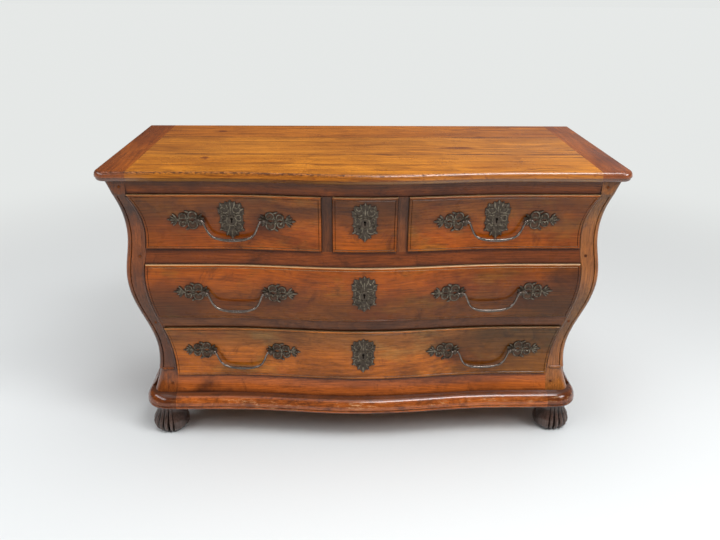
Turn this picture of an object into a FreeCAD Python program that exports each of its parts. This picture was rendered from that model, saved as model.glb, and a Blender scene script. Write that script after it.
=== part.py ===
import FreeCAD, Part
import math
import os

# A bombe chest of drawers in solid wood: three small drawers over two long ones, swelling in the front
# and the sides, with a clamped board top, a moulded base and carved bun feet.
# Millimetres. X runs along the front, -Y is the front, Z is up. The origin is on the floor, under the
# middle of the chest.

V = FreeCAD.Vector

# ---- overall size ----
WIDTH = 1350.0  # over the moulded ends of the top
DEPTH = 620.0  # back edge of the top to the middle of its bowed front
HEIGHT = 800.0

# ---- the bombe outline ----
# (height, half width) at the capital, the waist, the belly, the ankle and the plinth. The front swells
# by the same amounts as the sides, so one outline serves both.
OUTLINE = ((775.0, 655.0), (626.0, 618.0), (505.0, 629.0), (250.0, 580.0), (138.0, 600.0))
STILE_INNER = ((775.0, 628.0), (626.0, 567.0), (505.0, 578.0), (189.0, 530.0), (138.0, 530.0))
FRONT_SHIFT = 381.0  # y of the front face plus the half width at the same height
BOW = 28.0  # how far the middle of the front stands out from its flat ends
BOW_REACH = 400.0  # half length of the bowed stretch

# ---- levels ----
TOP_THICK = 25.0
CASE_TOP = HEIGHT - TOP_THICK
CASE_FOOT = 138.0
BASE_FOOT = 98.0
ROW_TOP = (586.0, 737.0)  # drawer fronts, lower and upper edge
ROW_MIDDLE = (379.0, 544.0)
ROW_BOTTOM = (189.0, 342.0)

# ---- case joinery ----
CASE_BACK = 298.0
STILE_BACK = -150.0  # rails and stiles end on one plane
REAR_STILE_FRONT = 262.0
REAR_STILE_WIDTH = 45.0
SIDE_THICK = 18.0
BACK_BOARD_THICK = 12.0
BACK_RAIL_HEIGHT = 38.0
FLOOR_THICK = 12.0
CORNER_RADIUS = 12.0
BEAD = 7.0
TENON_LENGTH = 26.0
TENON_THICK = 12.0
TENON_SET = 18.0  # from the face of the stile to its tenons
PEG_RADIUS = 3.5
PEG_LENGTH = 40.0
COVE_OUT = 7.0  # the top rail is one hollow, from a quirk over the drawers to the top
COVE_QUIRK = 3.0

# ---- drawers ----
DRAWER_PROUD = 8.0  # the fronts stand out from the rails
GAP = 1.2  # clearance round a drawer front
FRONT_THIN = 24.0  # thickness of a drawer front where it is thinnest
DIVIDER_INNER = 84.0
DIVIDER_OUTER = 110.0
BOX_THICK = 12.0
BOX_BOTTOM = 7.0
BOX_RISE = 2.0  # lower edge of the box above that of its front
BOX_DROP = 8.0
BOX_FLOOR = 8.0  # bottom panel above the lower edge of the box
GLUE_LINE = 0.15  # between faces that follow the same curve
GROOVE_DEPTH = 5.0
DRAWER_BACK = 262.0
TONGUE_DEEP = 9.0  # sliding dovetail on the front end of each side
TONGUE_NECK = 5.0
TONGUE_WIDE = 8.0
TAILS = 4  # through dovetails at each back corner
TAIL_SHARE = 0.3  # half width of a tail at its root, as a share of the pitch
TAIL_SLOPE = 1.0 / 6.0
RUNNER_HEIGHT = 20.0
RUNNER_WIDTH = 26.0
RUNNER_CLEAR = 0.6
GUIDE_HEIGHT = 22.0
GUIDE_THICK = 16.5
GUIDE_CLEAR = 1.5

# ---- metalwork ----
PLATE_THICK = 2.0
HANDLE_X = 341.0  # middle of each bail from the middle of the chest
HANDLE_HALF = 83.0
HANDLE_Z = {"top": 668.0, "middle": 469.0, "bottom": 270.0}
KEYHOLE_Z = {"top": 667.0, "middle": 467.0, "bottom": 262.0}
EYE_OUT = 11.0  # from the plate's face to the middle of the eye
BAIL_ROD = 3.3  # radius of the pivots
BAIL_DROP = 51.0
BAIL_GRIP = 4.2  # radius in the middle
BAIL_LINE = (  # (distance inside the pin, drop, radius) down one arm, from its pivot
    (7.5, 0.0, BAIL_ROD), (10.5, -2.5, 3.1), (14.0, -10.0, 2.9), (19.0, -22.5, 2.9), (26.0, -35.0, 3.0),
    (36.0, -43.5, 3.2), (52.0, -48.7, 3.6), (68.0, -50.6, 4.0),
)
RING_OUT = 1.0  # three small rings in the middle of the bail
RING_WIDTH = 3.0
EYE_RADIUS = 6.5
PIVOT_REACH = 8.5  # pivot beyond the middle of the eye
SHANK_RADIUS = 2.9
SHANK_BORE = 3.2
COLLAR_RADIUS = 5.5
COLLAR_LONG = 3.0
NUT_RADIUS = 7.0
NUT_LONG = 4.0
NUT_STAND = 0.8  # a nut touches the curved board only at its rim
KEYHOLE_HEAD = 3.4  # radius of its round head
KEYHOLE_SLOT = 1.6  # half width of its slot
KEYHOLE_FOOT = 8.0
BOLT_THROW = 8.0

PLAN_STEPS = 14
EPS = 0.01


# ---- curves of the chest ----
def swell(keys, z):
    """Half width at height z of a bombe outline given by its five (height, half width) keys."""
    capital, waist, belly, ankle, plinth = keys
    if z >= waist[0]:
        return waist[1] + (capital[1] - waist[1]) * ((z - waist[0]) / (capital[0] - waist[0])) ** 2
    if z <= ankle[0]:
        drop = max(ankle[0] - plinth[0], 1.0)
        return ankle[1] + (plinth[1] - ankle[1]) * ((ankle[0] - z) / drop) ** 2
    upper, lower = (waist, belly) if z >= belly[0] else (belly, ankle)
    turn = math.pi * (upper[0] - z) / (upper[0] - lower[0])
    return (upper[1] + lower[1]) / 2 + (upper[1] - lower[1]) / 2 * math.cos(turn)


def bow(x, depth=BOW):
    """How far the plan curve stands forward at x."""
    if abs(x) >= BOW_REACH:
        return 0.0
    return depth * math.cos(math.pi * x / (2 * BOW_REACH)) ** 2


def front_y(x, z, proud=0.0):
    """The doubly curved front face of the chest, which goes straight up beside the top rail."""
    return FRONT_SHIFT - swell(OUTLINE, min(z, ROW_TOP[1])) - bow(x) - proud


def stile_inner(z):
    """Half width of the drawer opening, between the stiles."""
    return swell(STILE_INNER, min(z, ROW_TOP[1]))


def steps(low, high, count):
    return [low + (high - low) * i / count for i in range(count + 1)]


def spline(points):
    """A smooth edge through points that are evenly spread along it."""
    curve = Part.BSplineCurve()
    curve.interpolate(Points=points, Parameters=steps(0.0, 1.0, len(points) - 1))
    return curve.toShape()


def line(a, b):
    return Part.LineSegment(a, b).toShape()


def box(x0, x1, y0, y1, z0, z1):
    return Part.makeBox(x1 - x0, y1 - y0, z1 - z0, V(x0, y0, z0))


def mirrored(shape):
    return shape.mirror(V(0, 0, 0), V(1, 0, 0))


def heights(low, high, pitch=24.0):
    return steps(low, high, max(3, round((high - low) / pitch)))


# ---- shaped boards: plan sections lofted upwards ----
def constant(value):
    return lambda _: value


def shaped_board(low, high, left, right, proud, back, pitch=24.0):
    """A board with the bombe face. left, right and proud depend on the height, back on x."""
    sections = []
    for z in heights(low, high, pitch):
        xs = steps(left(z), right(z), PLAN_STEPS)
        front = [V(x, front_y(x, z, proud(z)), z) for x in xs]
        rear = [V(x, back(x), z) for x in reversed(xs)]
        edges = [spline(front), line(front[-1], rear[0]), spline(rear), line(rear[-1], front[0])]
        sections.append(Part.Wire(edges))
    return Part.makeLoft(sections, True, False)


def outline_prism(inset, low, high, y0, y1):
    """The bombe outline, drawn in by inset at each side, as a block from y0 to y1."""
    zs = heights(low, high, 32.0)
    right = [V(swell(OUTLINE, z) - inset, y0, z) for z in zs]
    left = [V(-p.x, y0, p.z) for p in reversed(right)]
    edges = [spline(right), line(right[-1], left[0]), spline(left), line(left[-1], right[0])]
    return Part.Face(Part.Wire(edges)).extrude(V(0, y1 - y0, 0))


def side_slab(inner_inset, low, high, y0, y1):
    """Right-hand side board: between the outline and a second outline inside it."""
    zs = heights(low, high, 32.0)
    outer = [V(swell(OUTLINE, z), y0, z) for z in zs]
    inner = [V(swell(OUTLINE, z) - inner_inset, y0, z) for z in reversed(zs)]
    edges = [spline(outer), line(outer[-1], inner[0]), spline(inner), line(inner[-1], outer[0])]
    return Part.Face(Part.Wire(edges)).extrude(V(0, y1 - y0, 0))


# ---- moulded boards: plan outlines stacked along an edge profile ----
def plan_outline(half, front, back, radius, depth, inset, z):
    """Rectangle with a bowed front and rounded front corners, drawn in by inset all round the front."""
    h = half - inset
    f = front + inset
    r = radius - inset
    k = r * math.sqrt(0.5)
    xs = steps(-(h - r), h - r, 2 * PLAN_STEPS)
    bowed = spline([V(x, f - bow(x, depth), z) for x in xs])
    right_arc = Part.Arc(V(h - r, f, z), V(h - r + k, f + r - k, z), V(h, f + r, z)).toShape()
    left_arc = Part.Arc(V(-h, f + r, z), V(-(h - r) - k, f + r - k, z), V(-(h - r), f, z)).toShape()
    right_side = line(V(h, f + r, z), V(h, back, z))
    rear = line(V(h, back, z), V(-h, back, z))
    left_side = line(V(-h, back, z), V(-h, f + r, z))
    return Part.Wire([bowed, right_arc, right_side, rear, left_side, left_arc])


def moulded_board(half, front, back, radius, depth, runs):
    """Stacks the runs of an edge profile, each a list of (inset, z) from the bottom up."""
    layers = []
    for run in runs:
        wires = [plan_outline(half, front, back, radius, depth, inset, z) for inset, z in run]
        layers.append(Part.makeLoft(wires, True, True))
    return layers[0].multiFuse(layers[1:])


def half_round(inset, low, high):
    """Profile run of a bead that swells from inset to nothing between two heights."""
    middle = (low + high) / 2
    reach = (high - low) / 2
    turn = steps(-math.pi / 2, math.pi / 2, 6)
    return [(inset * (1 - math.cos(a)), middle + reach * math.sin(a)) for a in turn]


def ovolo(edge, inset, low, high):
    """Profile run of a quarter round from edge at the bottom in to inset at the top."""
    turn = steps(0.0, math.pi / 2, 6)
    return [(edge + (inset - edge) * (1 - math.cos(a)), low + (high - low) * math.sin(a)) for a in turn]


# ---- the top ----
TOP_FRONT = -DEPTH / 2 + BOW + 2.0  # flat ends of the front edge
TOP_BOW = BOW + 2.0
TOP_RADIUS = 30.0
CLAMP_X = 592.0
TOP_SEAMS = (-85.0, 136.0)
TOP_LIP = 9.0  # lower member of the edge, which turns under
TOP_LIP_SET = 3.0
TOP_QUIRK = 1.2
TOP_NOSE = 8.0  # how far the upper round reaches back


def top():
    lip = CASE_TOP + TOP_LIP
    runs = [
        list(reversed(ovolo(TOP_LIP_SET - 0.5, TOP_NOSE, lip, CASE_TOP))),
        [(TOP_LIP_SET, lip), (TOP_LIP_SET, lip + TOP_QUIRK)],
        ovolo(0.0, TOP_NOSE, lip + TOP_QUIRK, HEIGHT),
    ]
    whole = moulded_board(WIDTH / 2, TOP_FRONT, DEPTH / 2, TOP_RADIUS, TOP_BOW, runs)
    cuts = (-DEPTH, *TOP_SEAMS, DEPTH)
    boards = []
    for front, rear in zip(cuts, cuts[1:]):
        boards.append(whole.common(box(-CLAMP_X, CLAMP_X, front, rear, CASE_TOP - 1, HEIGHT + 1)))
    clamp = whole.common(box(CLAMP_X, WIDTH, -DEPTH, DEPTH, CASE_TOP - 1, HEIGHT + 1))
    return boards, [clamp, mirrored(clamp)]


# ---- base frame ----
BASE_HALF = 626.0
BASE_FRONT = -250.0
BASE_RADIUS = 70.0
BASE_LIP = 9.0  # bead along the lower edge
BASE_LIP_SET = 2.5
BASE_QUIRK = 1.2
BASE_ROUND = 24.0  # how far the big round reaches back
BASE_BACK = CASE_BACK
BASE_MEMBER = 84.0
BLOCK_X = 532.0
BLOCK_Y = -118.0
COVE_TOP = 192.0
COVE_FRONT = -178.0
COVE_SET = 15.0  # foot of the side cove behind the edge of the base


def base_frame():
    lip = BASE_FOOT + BASE_LIP
    runs = [
        half_round(BASE_LIP_SET, BASE_FOOT, lip),
        [(BASE_LIP_SET + 0.5, lip), (BASE_LIP_SET + 0.5, lip + BASE_QUIRK)],
        ovolo(0.0, BASE_ROUND, lip + BASE_QUIRK, CASE_FOOT),
    ]
    whole = moulded_board(BASE_HALF, BASE_FRONT, BASE_BACK, BASE_RADIUS, BOW, runs)
    inner = BASE_HALF - BASE_MEMBER
    hollow = box(-inner, inner, STILE_BACK, BASE_BACK - BASE_MEMBER, 0, HEIGHT)
    corner = box(BLOCK_X, WIDTH, -DEPTH, BLOCK_Y, 0, HEIGHT)
    front = whole.common(box(-BLOCK_X, BLOCK_X, -DEPTH, STILE_BACK, 0, HEIGHT))
    block = whole.common(corner)
    rest = whole.cut(hollow)
    side = rest.common(box(BLOCK_X, WIDTH, BLOCK_Y, DEPTH, 0, HEIGHT))
    rear = rest.common(box(-BLOCK_X, BLOCK_X, BASE_BACK - BASE_MEMBER, DEPTH, 0, HEIGHT))
    return front, [block, mirrored(block)], side, rear


def side_cove(base):
    """Hollow moulding that carries the side of the case down to the base, on which it is seated."""
    low = CASE_FOOT - BASE_LIP
    foot_x = BASE_HALF - COVE_SET
    head_x = swell(OUTLINE, COVE_TOP) + 1.5
    inner = [V(swell(OUTLINE, z) + GLUE_LINE, COVE_FRONT, z) for z in steps(low, COVE_TOP, 4)]
    face = spline(inner)
    head = line(inner[-1], V(head_x, COVE_FRONT, COVE_TOP))
    middle = V(head_x + (foot_x - head_x) * 0.38, COVE_FRONT, CASE_FOOT + (COVE_TOP - CASE_FOOT) * 0.45)
    hollow_foot = V(foot_x, COVE_FRONT, CASE_FOOT)
    hollow = Part.Arc(V(head_x, COVE_FRONT, COVE_TOP), middle, hollow_foot).toShape()
    skirt = line(hollow_foot, V(foot_x, COVE_FRONT, low))
    foot = line(V(foot_x, COVE_FRONT, low), inner[0])
    profile = Part.Face(Part.Wire([face, head, hollow, skirt, foot]))
    return profile.extrude(V(0, CASE_BACK - COVE_FRONT, 0)).cut(base)


# ---- front stiles ----
CAPITAL_FOOT = 731.0
PLINTH_HEAD = 205.0
PLINTH_RADIUS = 30.0
GROOVE = 3.0
SCROLL_RADIUS = 5.0
STILE_RUNS = (  # (foot, head, pitch of the sections, corner radius, beaded)
    (PLINTH_HEAD, CAPITAL_FOOT, 30.0, CORNER_RADIUS, True),
    (CAPITAL_FOOT, ROW_TOP[1], 14.0, CORNER_RADIUS, False),
    (ROW_TOP[1], CASE_TOP, 14.0, CORNER_RADIUS, False),
    (CASE_FOOT, PLINTH_HEAD, 14.0, PLINTH_RADIUS, False),
)


def stile_section(z, r, beaded):
    """Plan of the right-hand stile: bead beside the drawers, flat face, quirk, corner of radius r."""
    w = swell(OUTLINE, z)
    f = front_y(WIDTH, z)
    inner = stile_inner(z)
    k = r * (1 - math.sqrt(0.5))
    face_end = w - r
    if beaded:
        swelling = Part.Arc(V(inner, f, z), V(inner + BEAD / 2, f - 2, z), V(inner + BEAD, f, z)).toShape()
        quirk = [V(face_end - GROOVE, f, z), V(face_end - GROOVE / 2, f + 2, z), V(face_end, f, z)]
    else:
        swelling = line(V(inner, f, z), V(inner + BEAD, f, z))
        quirk = [V(face_end - GROOVE, f, z), V(face_end, f, z)]
    edges = [swelling, line(V(inner + BEAD, f, z), quirk[0])]
    edges += [line(a, b) for a, b in zip(quirk, quirk[1:])]
    edges.append(Part.Arc(V(face_end, f, z), V(w - k, f + k, z), V(w, f + r, z)).toShape())
    edges.append(line(V(w, f + r, z), V(w, STILE_BACK, z)))
    edges.append(line(V(w, STILE_BACK, z), V(inner, STILE_BACK, z)))
    edges.append(line(V(inner, STILE_BACK, z), V(inner, f, z)))
    return Part.Wire(edges)


def front_stile():
    """Right-hand stile: a moulded shaft between a plain capital and a plain plinth with a scroll."""
    parts = []
    for low, high, pitch, radius, beaded in STILE_RUNS:
        sections = [stile_section(z, radius, beaded) for z in heights(low, high, pitch)]
        parts.append(Part.makeLoft(sections, True, False))
    inner = stile_inner(PLINTH_HEAD) + BEAD + 2
    reach = swell(OUTLINE, PLINTH_HEAD) - CORNER_RADIUS - inner
    scroll_y = front_y(WIDTH, PLINTH_HEAD) + 1.5
    parts.append(Part.makeCylinder(SCROLL_RADIUS, reach, V(inner, scroll_y, PLINTH_HEAD), V(1, 0, 0)))
    return parts[0].multiFuse(parts[1:])


# ---- rails between the stiles ----
RAILS = {
    "top_rail": (ROW_TOP[1] + GAP, CASE_TOP),
    "upper_rail": (ROW_MIDDLE[1] + GAP, ROW_TOP[0] - GAP),
    "lower_rail": (ROW_BOTTOM[1] + GAP, ROW_MIDDLE[0] - GAP),
    "bottom_rail": (CASE_FOOT, ROW_BOTTOM[0] - GAP),
}


def shoulder(z):
    return stile_inner(z) - GLUE_LINE


def rail(low, high):
    """A rail shouldered between the stiles, before its tenons."""
    return shaped_board(low, high, lambda z: -shoulder(z), shoulder, constant(0.0), constant(STILE_BACK))


def cove_proud(z):
    """The hollow under the top: set back at its foot, sweeping out to its head."""
    foot, head = RAILS["top_rail"]
    turn = math.acos(min(1.0, (z - foot) / (head - foot)))
    return COVE_OUT - (COVE_OUT + COVE_QUIRK) * math.sin(turn)


def top_rail():
    low, high = RAILS["top_rail"]
    return shaped_board(low, high, lambda z: -shoulder(z), shoulder, cove_proud, constant(STILE_BACK), 3.0)


def tenon(low, high):
    """Right-hand tenon of a rail, let into the stile."""
    margin = (high - low) * 0.2
    middle = (low + high) / 2
    start = min(shoulder(low), shoulder(high)) - TENON_LENGTH / 4
    end = stile_inner(middle) + TENON_LENGTH
    y = front_y(WIDTH, middle) + TENON_SET
    return box(start, end, y, y + TENON_THICK, low + margin, high - margin)


def peg_holes(low, high):
    """The bore of a peg through stile and tenon; the peg fills it and stands out a little."""
    middle = (low + high) / 2
    x = stile_inner(middle) + TENON_LENGTH / 2 + 2
    return Part.makeCylinder(PEG_RADIUS, PEG_LENGTH, V(x, front_y(WIDTH, middle, 1.0), middle), V(0, 1, 0))


# ---- feet ----
FOOT_X = 566.0
FRONT_FOOT_Y = -180.0
REAR_FOOT_Y = 236.0
FOOT_SHAPE = (  # (height, radius), a squat bun that is widest low down
    (0.0, 46.0), (7.0, 54.0), (20.0, 57.0), (34.0, 53.0), (50.0, 43.0), (72.0, 36.0), (BASE_FOOT, 34.0),
)
FOOT_TENON_TOP = CASE_FOOT - 8.0
TENON_RADIUS = 15.0
LOBES = 11
LOBE_SHARE = 0.075  # depth of the creases between lobes, as a share of the radius
LOBED_ARC = (-107.0, 53.0)  # degrees round the foot; the side towards the middle stays plain


def foot_section(z, radius):
    """Plan of the foot: carved lobes on the sides that show, a plain round towards the middle."""
    def at(angle, r):
        return V(r * math.cos(math.radians(angle)), r * math.sin(math.radians(angle)), z)

    creases = steps(*LOBED_ARC, LOBES)
    deep = radius * (1 - LOBE_SHARE)
    edges = []
    for a, b in [*zip(creases, creases[1:]), (LOBED_ARC[1], LOBED_ARC[0] + 360)]:
        edges.append(Part.Arc(at(a, deep), at((a + b) / 2, radius), at(b, deep)).toShape())
    return Part.Wire(edges)


def bun_foot():
    """A bun foot carved into lobes like the knuckles of a paw, with a round tenon."""
    bun = Part.makeLoft([foot_section(z, radius) for z, radius in FOOT_SHAPE], True, False)
    root = FOOT_SHAPE[-2][0]
    return bun.fuse(Part.makeCylinder(TENON_RADIUS, FOOT_TENON_TOP - root, V(0, 0, root)))


# ---- drawers ----
def drawer_back_face(row):
    """y of the inner face of a row's drawer fronts, where the plan is flat."""
    thinnest = min(swell(OUTLINE, z) for z in heights(*row))
    return FRONT_SHIFT - thinnest - DRAWER_PROUD + FRONT_THIN


def keyhole(x, z, y0, y1):
    """Round top and narrow slot of a keyhole, as a cutter along Y."""
    middle = z + KEYHOLE_HEAD
    barrel = Part.makeCylinder(KEYHOLE_HEAD, y1 - y0, V(x, y0, middle), V(0, 1, 0))
    return barrel.fuse(box(x - KEYHOLE_SLOT, x + KEYHOLE_SLOT, y0, y1, z - KEYHOLE_FOOT, middle))


class Drawer:
    """One drawer: where its front, box, lock and handles are."""

    def __init__(self, name, row, level, left, right, box_left, box_right, key_x, handles):
        self.name = name
        self.row = row
        self.level = level
        self.left = left
        self.right = right
        self.box_left = box_left
        self.box_right = box_right
        self.key_x = key_x
        self.key_z = KEYHOLE_Z[level]
        self.handles = handles
        self.inner = drawer_back_face(row)


def outer_end(z):
    return stile_inner(z) - GAP


def box_reach(row):
    """Half width that a straight-sided drawer box may have between the curved stiles."""
    return min(stile_inner(z) for z in heights(*row)) - 3.0


DRAWERS = [
    Drawer(
        "top_left", ROW_TOP, "top", lambda z: -outer_end(z), lambda z: -DIVIDER_OUTER - GAP,
        -box_reach(ROW_TOP), -DIVIDER_OUTER - 3, -HANDLE_X, [-HANDLE_X],
    ),
    Drawer(
        "top_centre", ROW_TOP, "top", lambda z: -DIVIDER_INNER + GAP, lambda z: DIVIDER_INNER - GAP,
        -DIVIDER_INNER + 3, DIVIDER_INNER - 3, 0.0, [],
    ),
    Drawer(
        "top_right", ROW_TOP, "top", lambda z: DIVIDER_OUTER + GAP, outer_end,
        DIVIDER_OUTER + 3, box_reach(ROW_TOP), HANDLE_X, [HANDLE_X],
    ),
    Drawer(
        "middle", ROW_MIDDLE, "middle", lambda z: -outer_end(z), outer_end,
        -box_reach(ROW_MIDDLE), box_reach(ROW_MIDDLE), 0.0, [-HANDLE_X, HANDLE_X],
    ),
    Drawer(
        "bottom", ROW_BOTTOM, "bottom", lambda z: -outer_end(z), outer_end,
        -box_reach(ROW_BOTTOM), box_reach(ROW_BOTTOM), 0.0, [-HANDLE_X, HANDLE_X],
    ),
]

LOCK_WIDTH = 64.0
LOCK_HEIGHT = 52.0
LOCK_DEEP = 4.0  # how far the lock is let into the front
LOCK_OUT = 10.0
BOLT_WIDTH = 22.0
BOLT_THICK = 7.0
BOLT_CLEAR = 0.4


def lock_y(drawer):
    """Inner face of the front at the lock."""
    return drawer.inner - bow(drawer.key_x)


def lock_body(drawer):
    y = lock_y(drawer)
    top_z = drawer.row[1]
    half = LOCK_WIDTH / 2
    low = drawer.key_z - LOCK_HEIGHT / 2
    return box(drawer.key_x - half, drawer.key_x + half, y - LOCK_DEEP, y + LOCK_OUT, low, top_z)


def bolt_box(drawer, clear, lift):
    y = lock_y(drawer) + (LOCK_OUT - LOCK_DEEP - BOLT_THICK) / 2
    half = BOLT_WIDTH / 2 + clear
    top_z = drawer.row[1] - 0.5
    low = drawer.key_z + 12
    x = drawer.key_x
    return box(x - half, x + half, y - clear, y + BOLT_THICK + clear, low - clear, top_z + lift)


def drawer_front(drawer):
    low, high = drawer.row
    board = shaped_board(
        low, high, drawer.left, drawer.right, constant(DRAWER_PROUD), lambda x: drawer.inner - bow(x)
    )
    cutters = [lock_body(drawer), keyhole(drawer.key_x, drawer.key_z, -DEPTH, drawer.inner)]
    cutters += tongues(drawer, low - 1.0)
    for handle in drawer.handles:
        for x in (handle - HANDLE_HALF, handle + HANDLE_HALF):
            mouth = V(x, -DEPTH / 2, HANDLE_Z[drawer.level])
            cutters.append(Part.makeCylinder(SHANK_BORE, DEPTH / 2, mouth, V(0, 1, 0)))
    return board.cut(cutters)


def tongues(drawer, low):
    """Sliding dovetails that hold the two sides in the front, as prisms from low upwards."""
    high = drawer.row[1] - BOX_DROP
    shapes = []
    for x in (drawer.box_left + BOX_THICK / 2, drawer.box_right - BOX_THICK / 2):
        y = drawer.inner - bow(x)
        neck, wide = TONGUE_NECK / 2, TONGUE_WIDE / 2
        corners = [V(x - neck, y + 1, low), V(x - wide, y - TONGUE_DEEP, low)]
        corners += [V(x + wide, y - TONGUE_DEEP, low), V(x + neck, y + 1, low)]
        shapes.append(Part.Face(Part.makePolygon(corners + corners[:1])).extrude(V(0, 0, high - low)))
    return shapes


def tails(x, low, high):
    """Through dovetails on the back end of a side that starts at x, widening to the back."""
    pitch = (high - low) / TAILS
    y0, y1 = DRAWER_BACK - BOX_THICK, DRAWER_BACK
    root = pitch * TAIL_SHARE
    tip = root + BOX_THICK * TAIL_SLOPE
    shapes = []
    for middle in steps(low + pitch / 2, high - pitch / 2, TAILS - 1):
        corners = [V(x, y0, middle - root), V(x, y1, middle - tip)]
        corners += [V(x, y1, middle + tip), V(x, y0, middle + root)]
        shapes.append(Part.Face(Part.makePolygon(corners + corners[:1])).extrude(V(BOX_THICK, 0, 0)))
    return shapes


def box_blank(drawer, low, high):
    """The space that a drawer box fills behind its front."""
    x0, x1 = drawer.box_left, drawer.box_right
    face = [V(x, drawer.inner - bow(x) + GLUE_LINE, low) for x in steps(x0, x1, PLAN_STEPS)]
    rear = [V(x1, DRAWER_BACK, low), V(x0, DRAWER_BACK, low)]
    edges = [spline(face), line(face[-1], rear[0]), line(*rear), line(rear[1], face[0])]
    return Part.Face(Part.Wire(edges)).extrude(V(0, 0, high - low))


def drawer_box(drawer):
    """Two dovetailed sides, a back and a bottom panel let into grooves."""
    low = drawer.row[0] + BOX_RISE
    high = drawer.row[1] - BOX_DROP
    x0, x1 = drawer.box_left, drawer.box_right
    y0, y1 = DRAWER_BACK - BOX_THICK, DRAWER_BACK
    floor_z = low + BOX_FLOOR
    inset = BOX_THICK - GROOVE_DEPTH
    blank = box_blank(drawer, low, high)
    panel = blank.common(
        box(x0 + inset, x1 - inset, -DEPTH, y1 - BOX_THICK / 2, floor_z, floor_z + BOX_BOTTOM)
    )
    back = box(x0, x1, y0, y1, low, high)
    sides = []
    for x, tongue in zip((x0, x1 - BOX_THICK), tongues(drawer, low)):
        ends = tails(x, low, high)
        board = blank.common(box(x, x + BOX_THICK, -DEPTH, y0, low, high))
        sides.append(board.multiFuse([tongue] + ends).cut(panel))
        back = back.cut(ends)
    return sides + [back.cut(panel), panel]


def lock(drawer):
    y = lock_y(drawer)
    body = lock_body(drawer).cut(bolt_box(drawer, BOLT_CLEAR, 20.0))
    return body.cut(keyhole(drawer.key_x, drawer.key_z, y - 20, y + LOCK_OUT - 3))


# ---- handles and escutcheons ----
# Plates are pierced rocaille castings, drawn as (across, up) from the pin outwards or from the keyhole.
# C scrolls are (across, up, radius, direction that they open to), leaves (foot, tip, half width), and
# knots are plain discs (across, up, radius).
SCROLL_HALF = 1.9  # half width of the band of a scroll
SCROLL_SWEEP = 230.0
CURL = 0.44  # radius of the curl at each end, as a share of the scroll's
CURL_SWEEP = 150.0
KNOB = 3.0
HANDLE_SCROLLS = ((16, 12, 10.5, -90), (17, -13, 11.5, 90), (41, 9, 8.5, -90), (43, -10, 8, 90))
HANDLE_LEAVES = (
    ((48, 6), (62, -7), 2.4), ((48, -6), (62, 7), 2.4), ((57, 4), (67, 17), 2.8),
    ((58, 2), (73, 9), 2.4), ((57, -4), (68, -17), 2.8), ((58, -2), (73, -10), 2.4),
    ((56, 0), (82, 0), 3.4), ((3, 5), (-8, 15), 2.8), ((4, 2), (-14, 5), 2.6), ((4, -2), (-13, -8), 2.6),
    ((4, -5), (-5, -16), 2.8), ((24, 20), (36, 25), 2.8), ((25, -21), (36, -28), 2.8),
)
HANDLE_KNOTS = ((0, 0, 9.5), (29, 5, 4.5), (30, -6, 4.5), (30, -1, 4))
ESCUTCHEON_SCROLLS = ((16, -18, 10, 120), (19, 7, 8, 0), (15, 31, 10, 80))
ESCUTCHEON_LEAVES = (
    ((8, 34), (12, 54), 3.4), ((20, 36), (26, 49), 3.0), ((22, 28), (34, 34), 2.8),
    ((17, 20), (33, 18), 3.0), ((22, -8), (33, -6), 2.6), ((22, -22), (32, -28), 3.0),
    ((8, -26), (15, -43), 3.2),
)
ESCUTCHEON_KNOTS = ((0, 0, 14), (0, -3, 14), (11, -10, 6), (10, 14, 6), (9, 22, 5), (6, -28, 7))
ESCUTCHEON_SPINE = (((0, 8), (0, 44), 3.6), ((0, 36), (0, 58), 3.0), ((0, -26), (0, -51), 4.6))
PLATE_REACH = 90.0  # half width and height of the sheet that a plate is cut from
PLATE_RISE = 70.0


def prism(face):
    """A plate element, drawn in front of the chest, as a cutter that reaches through its face."""
    return face.extrude(V(0, DEPTH / 2, 0))


def disc(across, up, radius):
    return Part.makeCylinder(radius, DEPTH / 2, V(across, -DEPTH / 2, up), V(0, 1, 0))


def on_ring(across, up, radius, angle):
    turn = math.radians(angle)
    return V(across + radius * math.cos(turn), -DEPTH / 2, up + radius * math.sin(turn))


def band(across, up, radius, start, sweep):
    """Part of a ring of the scrolls' width."""
    angles = (start, start + sweep / 2, start + sweep)
    outer, inner = [
        [on_ring(across, up, radius + side * SCROLL_HALF, angle) for angle in angles] for side in (1, -1)
    ]
    edges = [Part.Arc(*outer).toShape(), line(outer[-1], inner[-1])]
    edges += [Part.Arc(*reversed(inner)).toShape(), line(inner[0], outer[0])]
    return prism(Part.Face(Part.Wire(edges)))


def scroll(across, up, radius, opening):
    """A C scroll: an arc that curls in at both ends to a knob."""
    start = opening + 180 - SCROLL_SWEEP / 2
    curl = radius * CURL
    parts = [band(across, up, radius, start, SCROLL_SWEEP)]
    for end, turn in ((start, -CURL_SWEEP), (start + SCROLL_SWEEP, CURL_SWEEP)):
        centre = on_ring(across, up, radius - curl, end)
        parts.append(band(centre.x, centre.z, curl, min(end, end + turn), CURL_SWEEP))
        knob = on_ring(centre.x, centre.z, curl, end + turn)
        parts.append(disc(knob.x, knob.z, KNOB))
    return parts


def leaf(foot, tip, half):
    """A pointed leaf between two arcs."""
    along = V(tip[0] - foot[0], 0, tip[1] - foot[1])
    side = along.cross(V(0, 1, 0)).normalize() * half
    a, b = [V(p[0], -DEPTH / 2, p[1]) for p in (foot, tip)]
    middle = (a + b) / 2
    edges = [Part.Arc(a, middle + side, b).toShape(), Part.Arc(b, middle - side, a).toShape()]
    return prism(Part.Face(Part.Wire(edges)))


def handle_outline():
    parts = [part for row in HANDLE_SCROLLS for part in scroll(*row)]
    parts += [leaf(*row) for row in HANDLE_LEAVES] + [disc(*row) for row in HANDLE_KNOTS]
    return parts[0].multiFuse(parts[1:]).removeSplitter()


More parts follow.
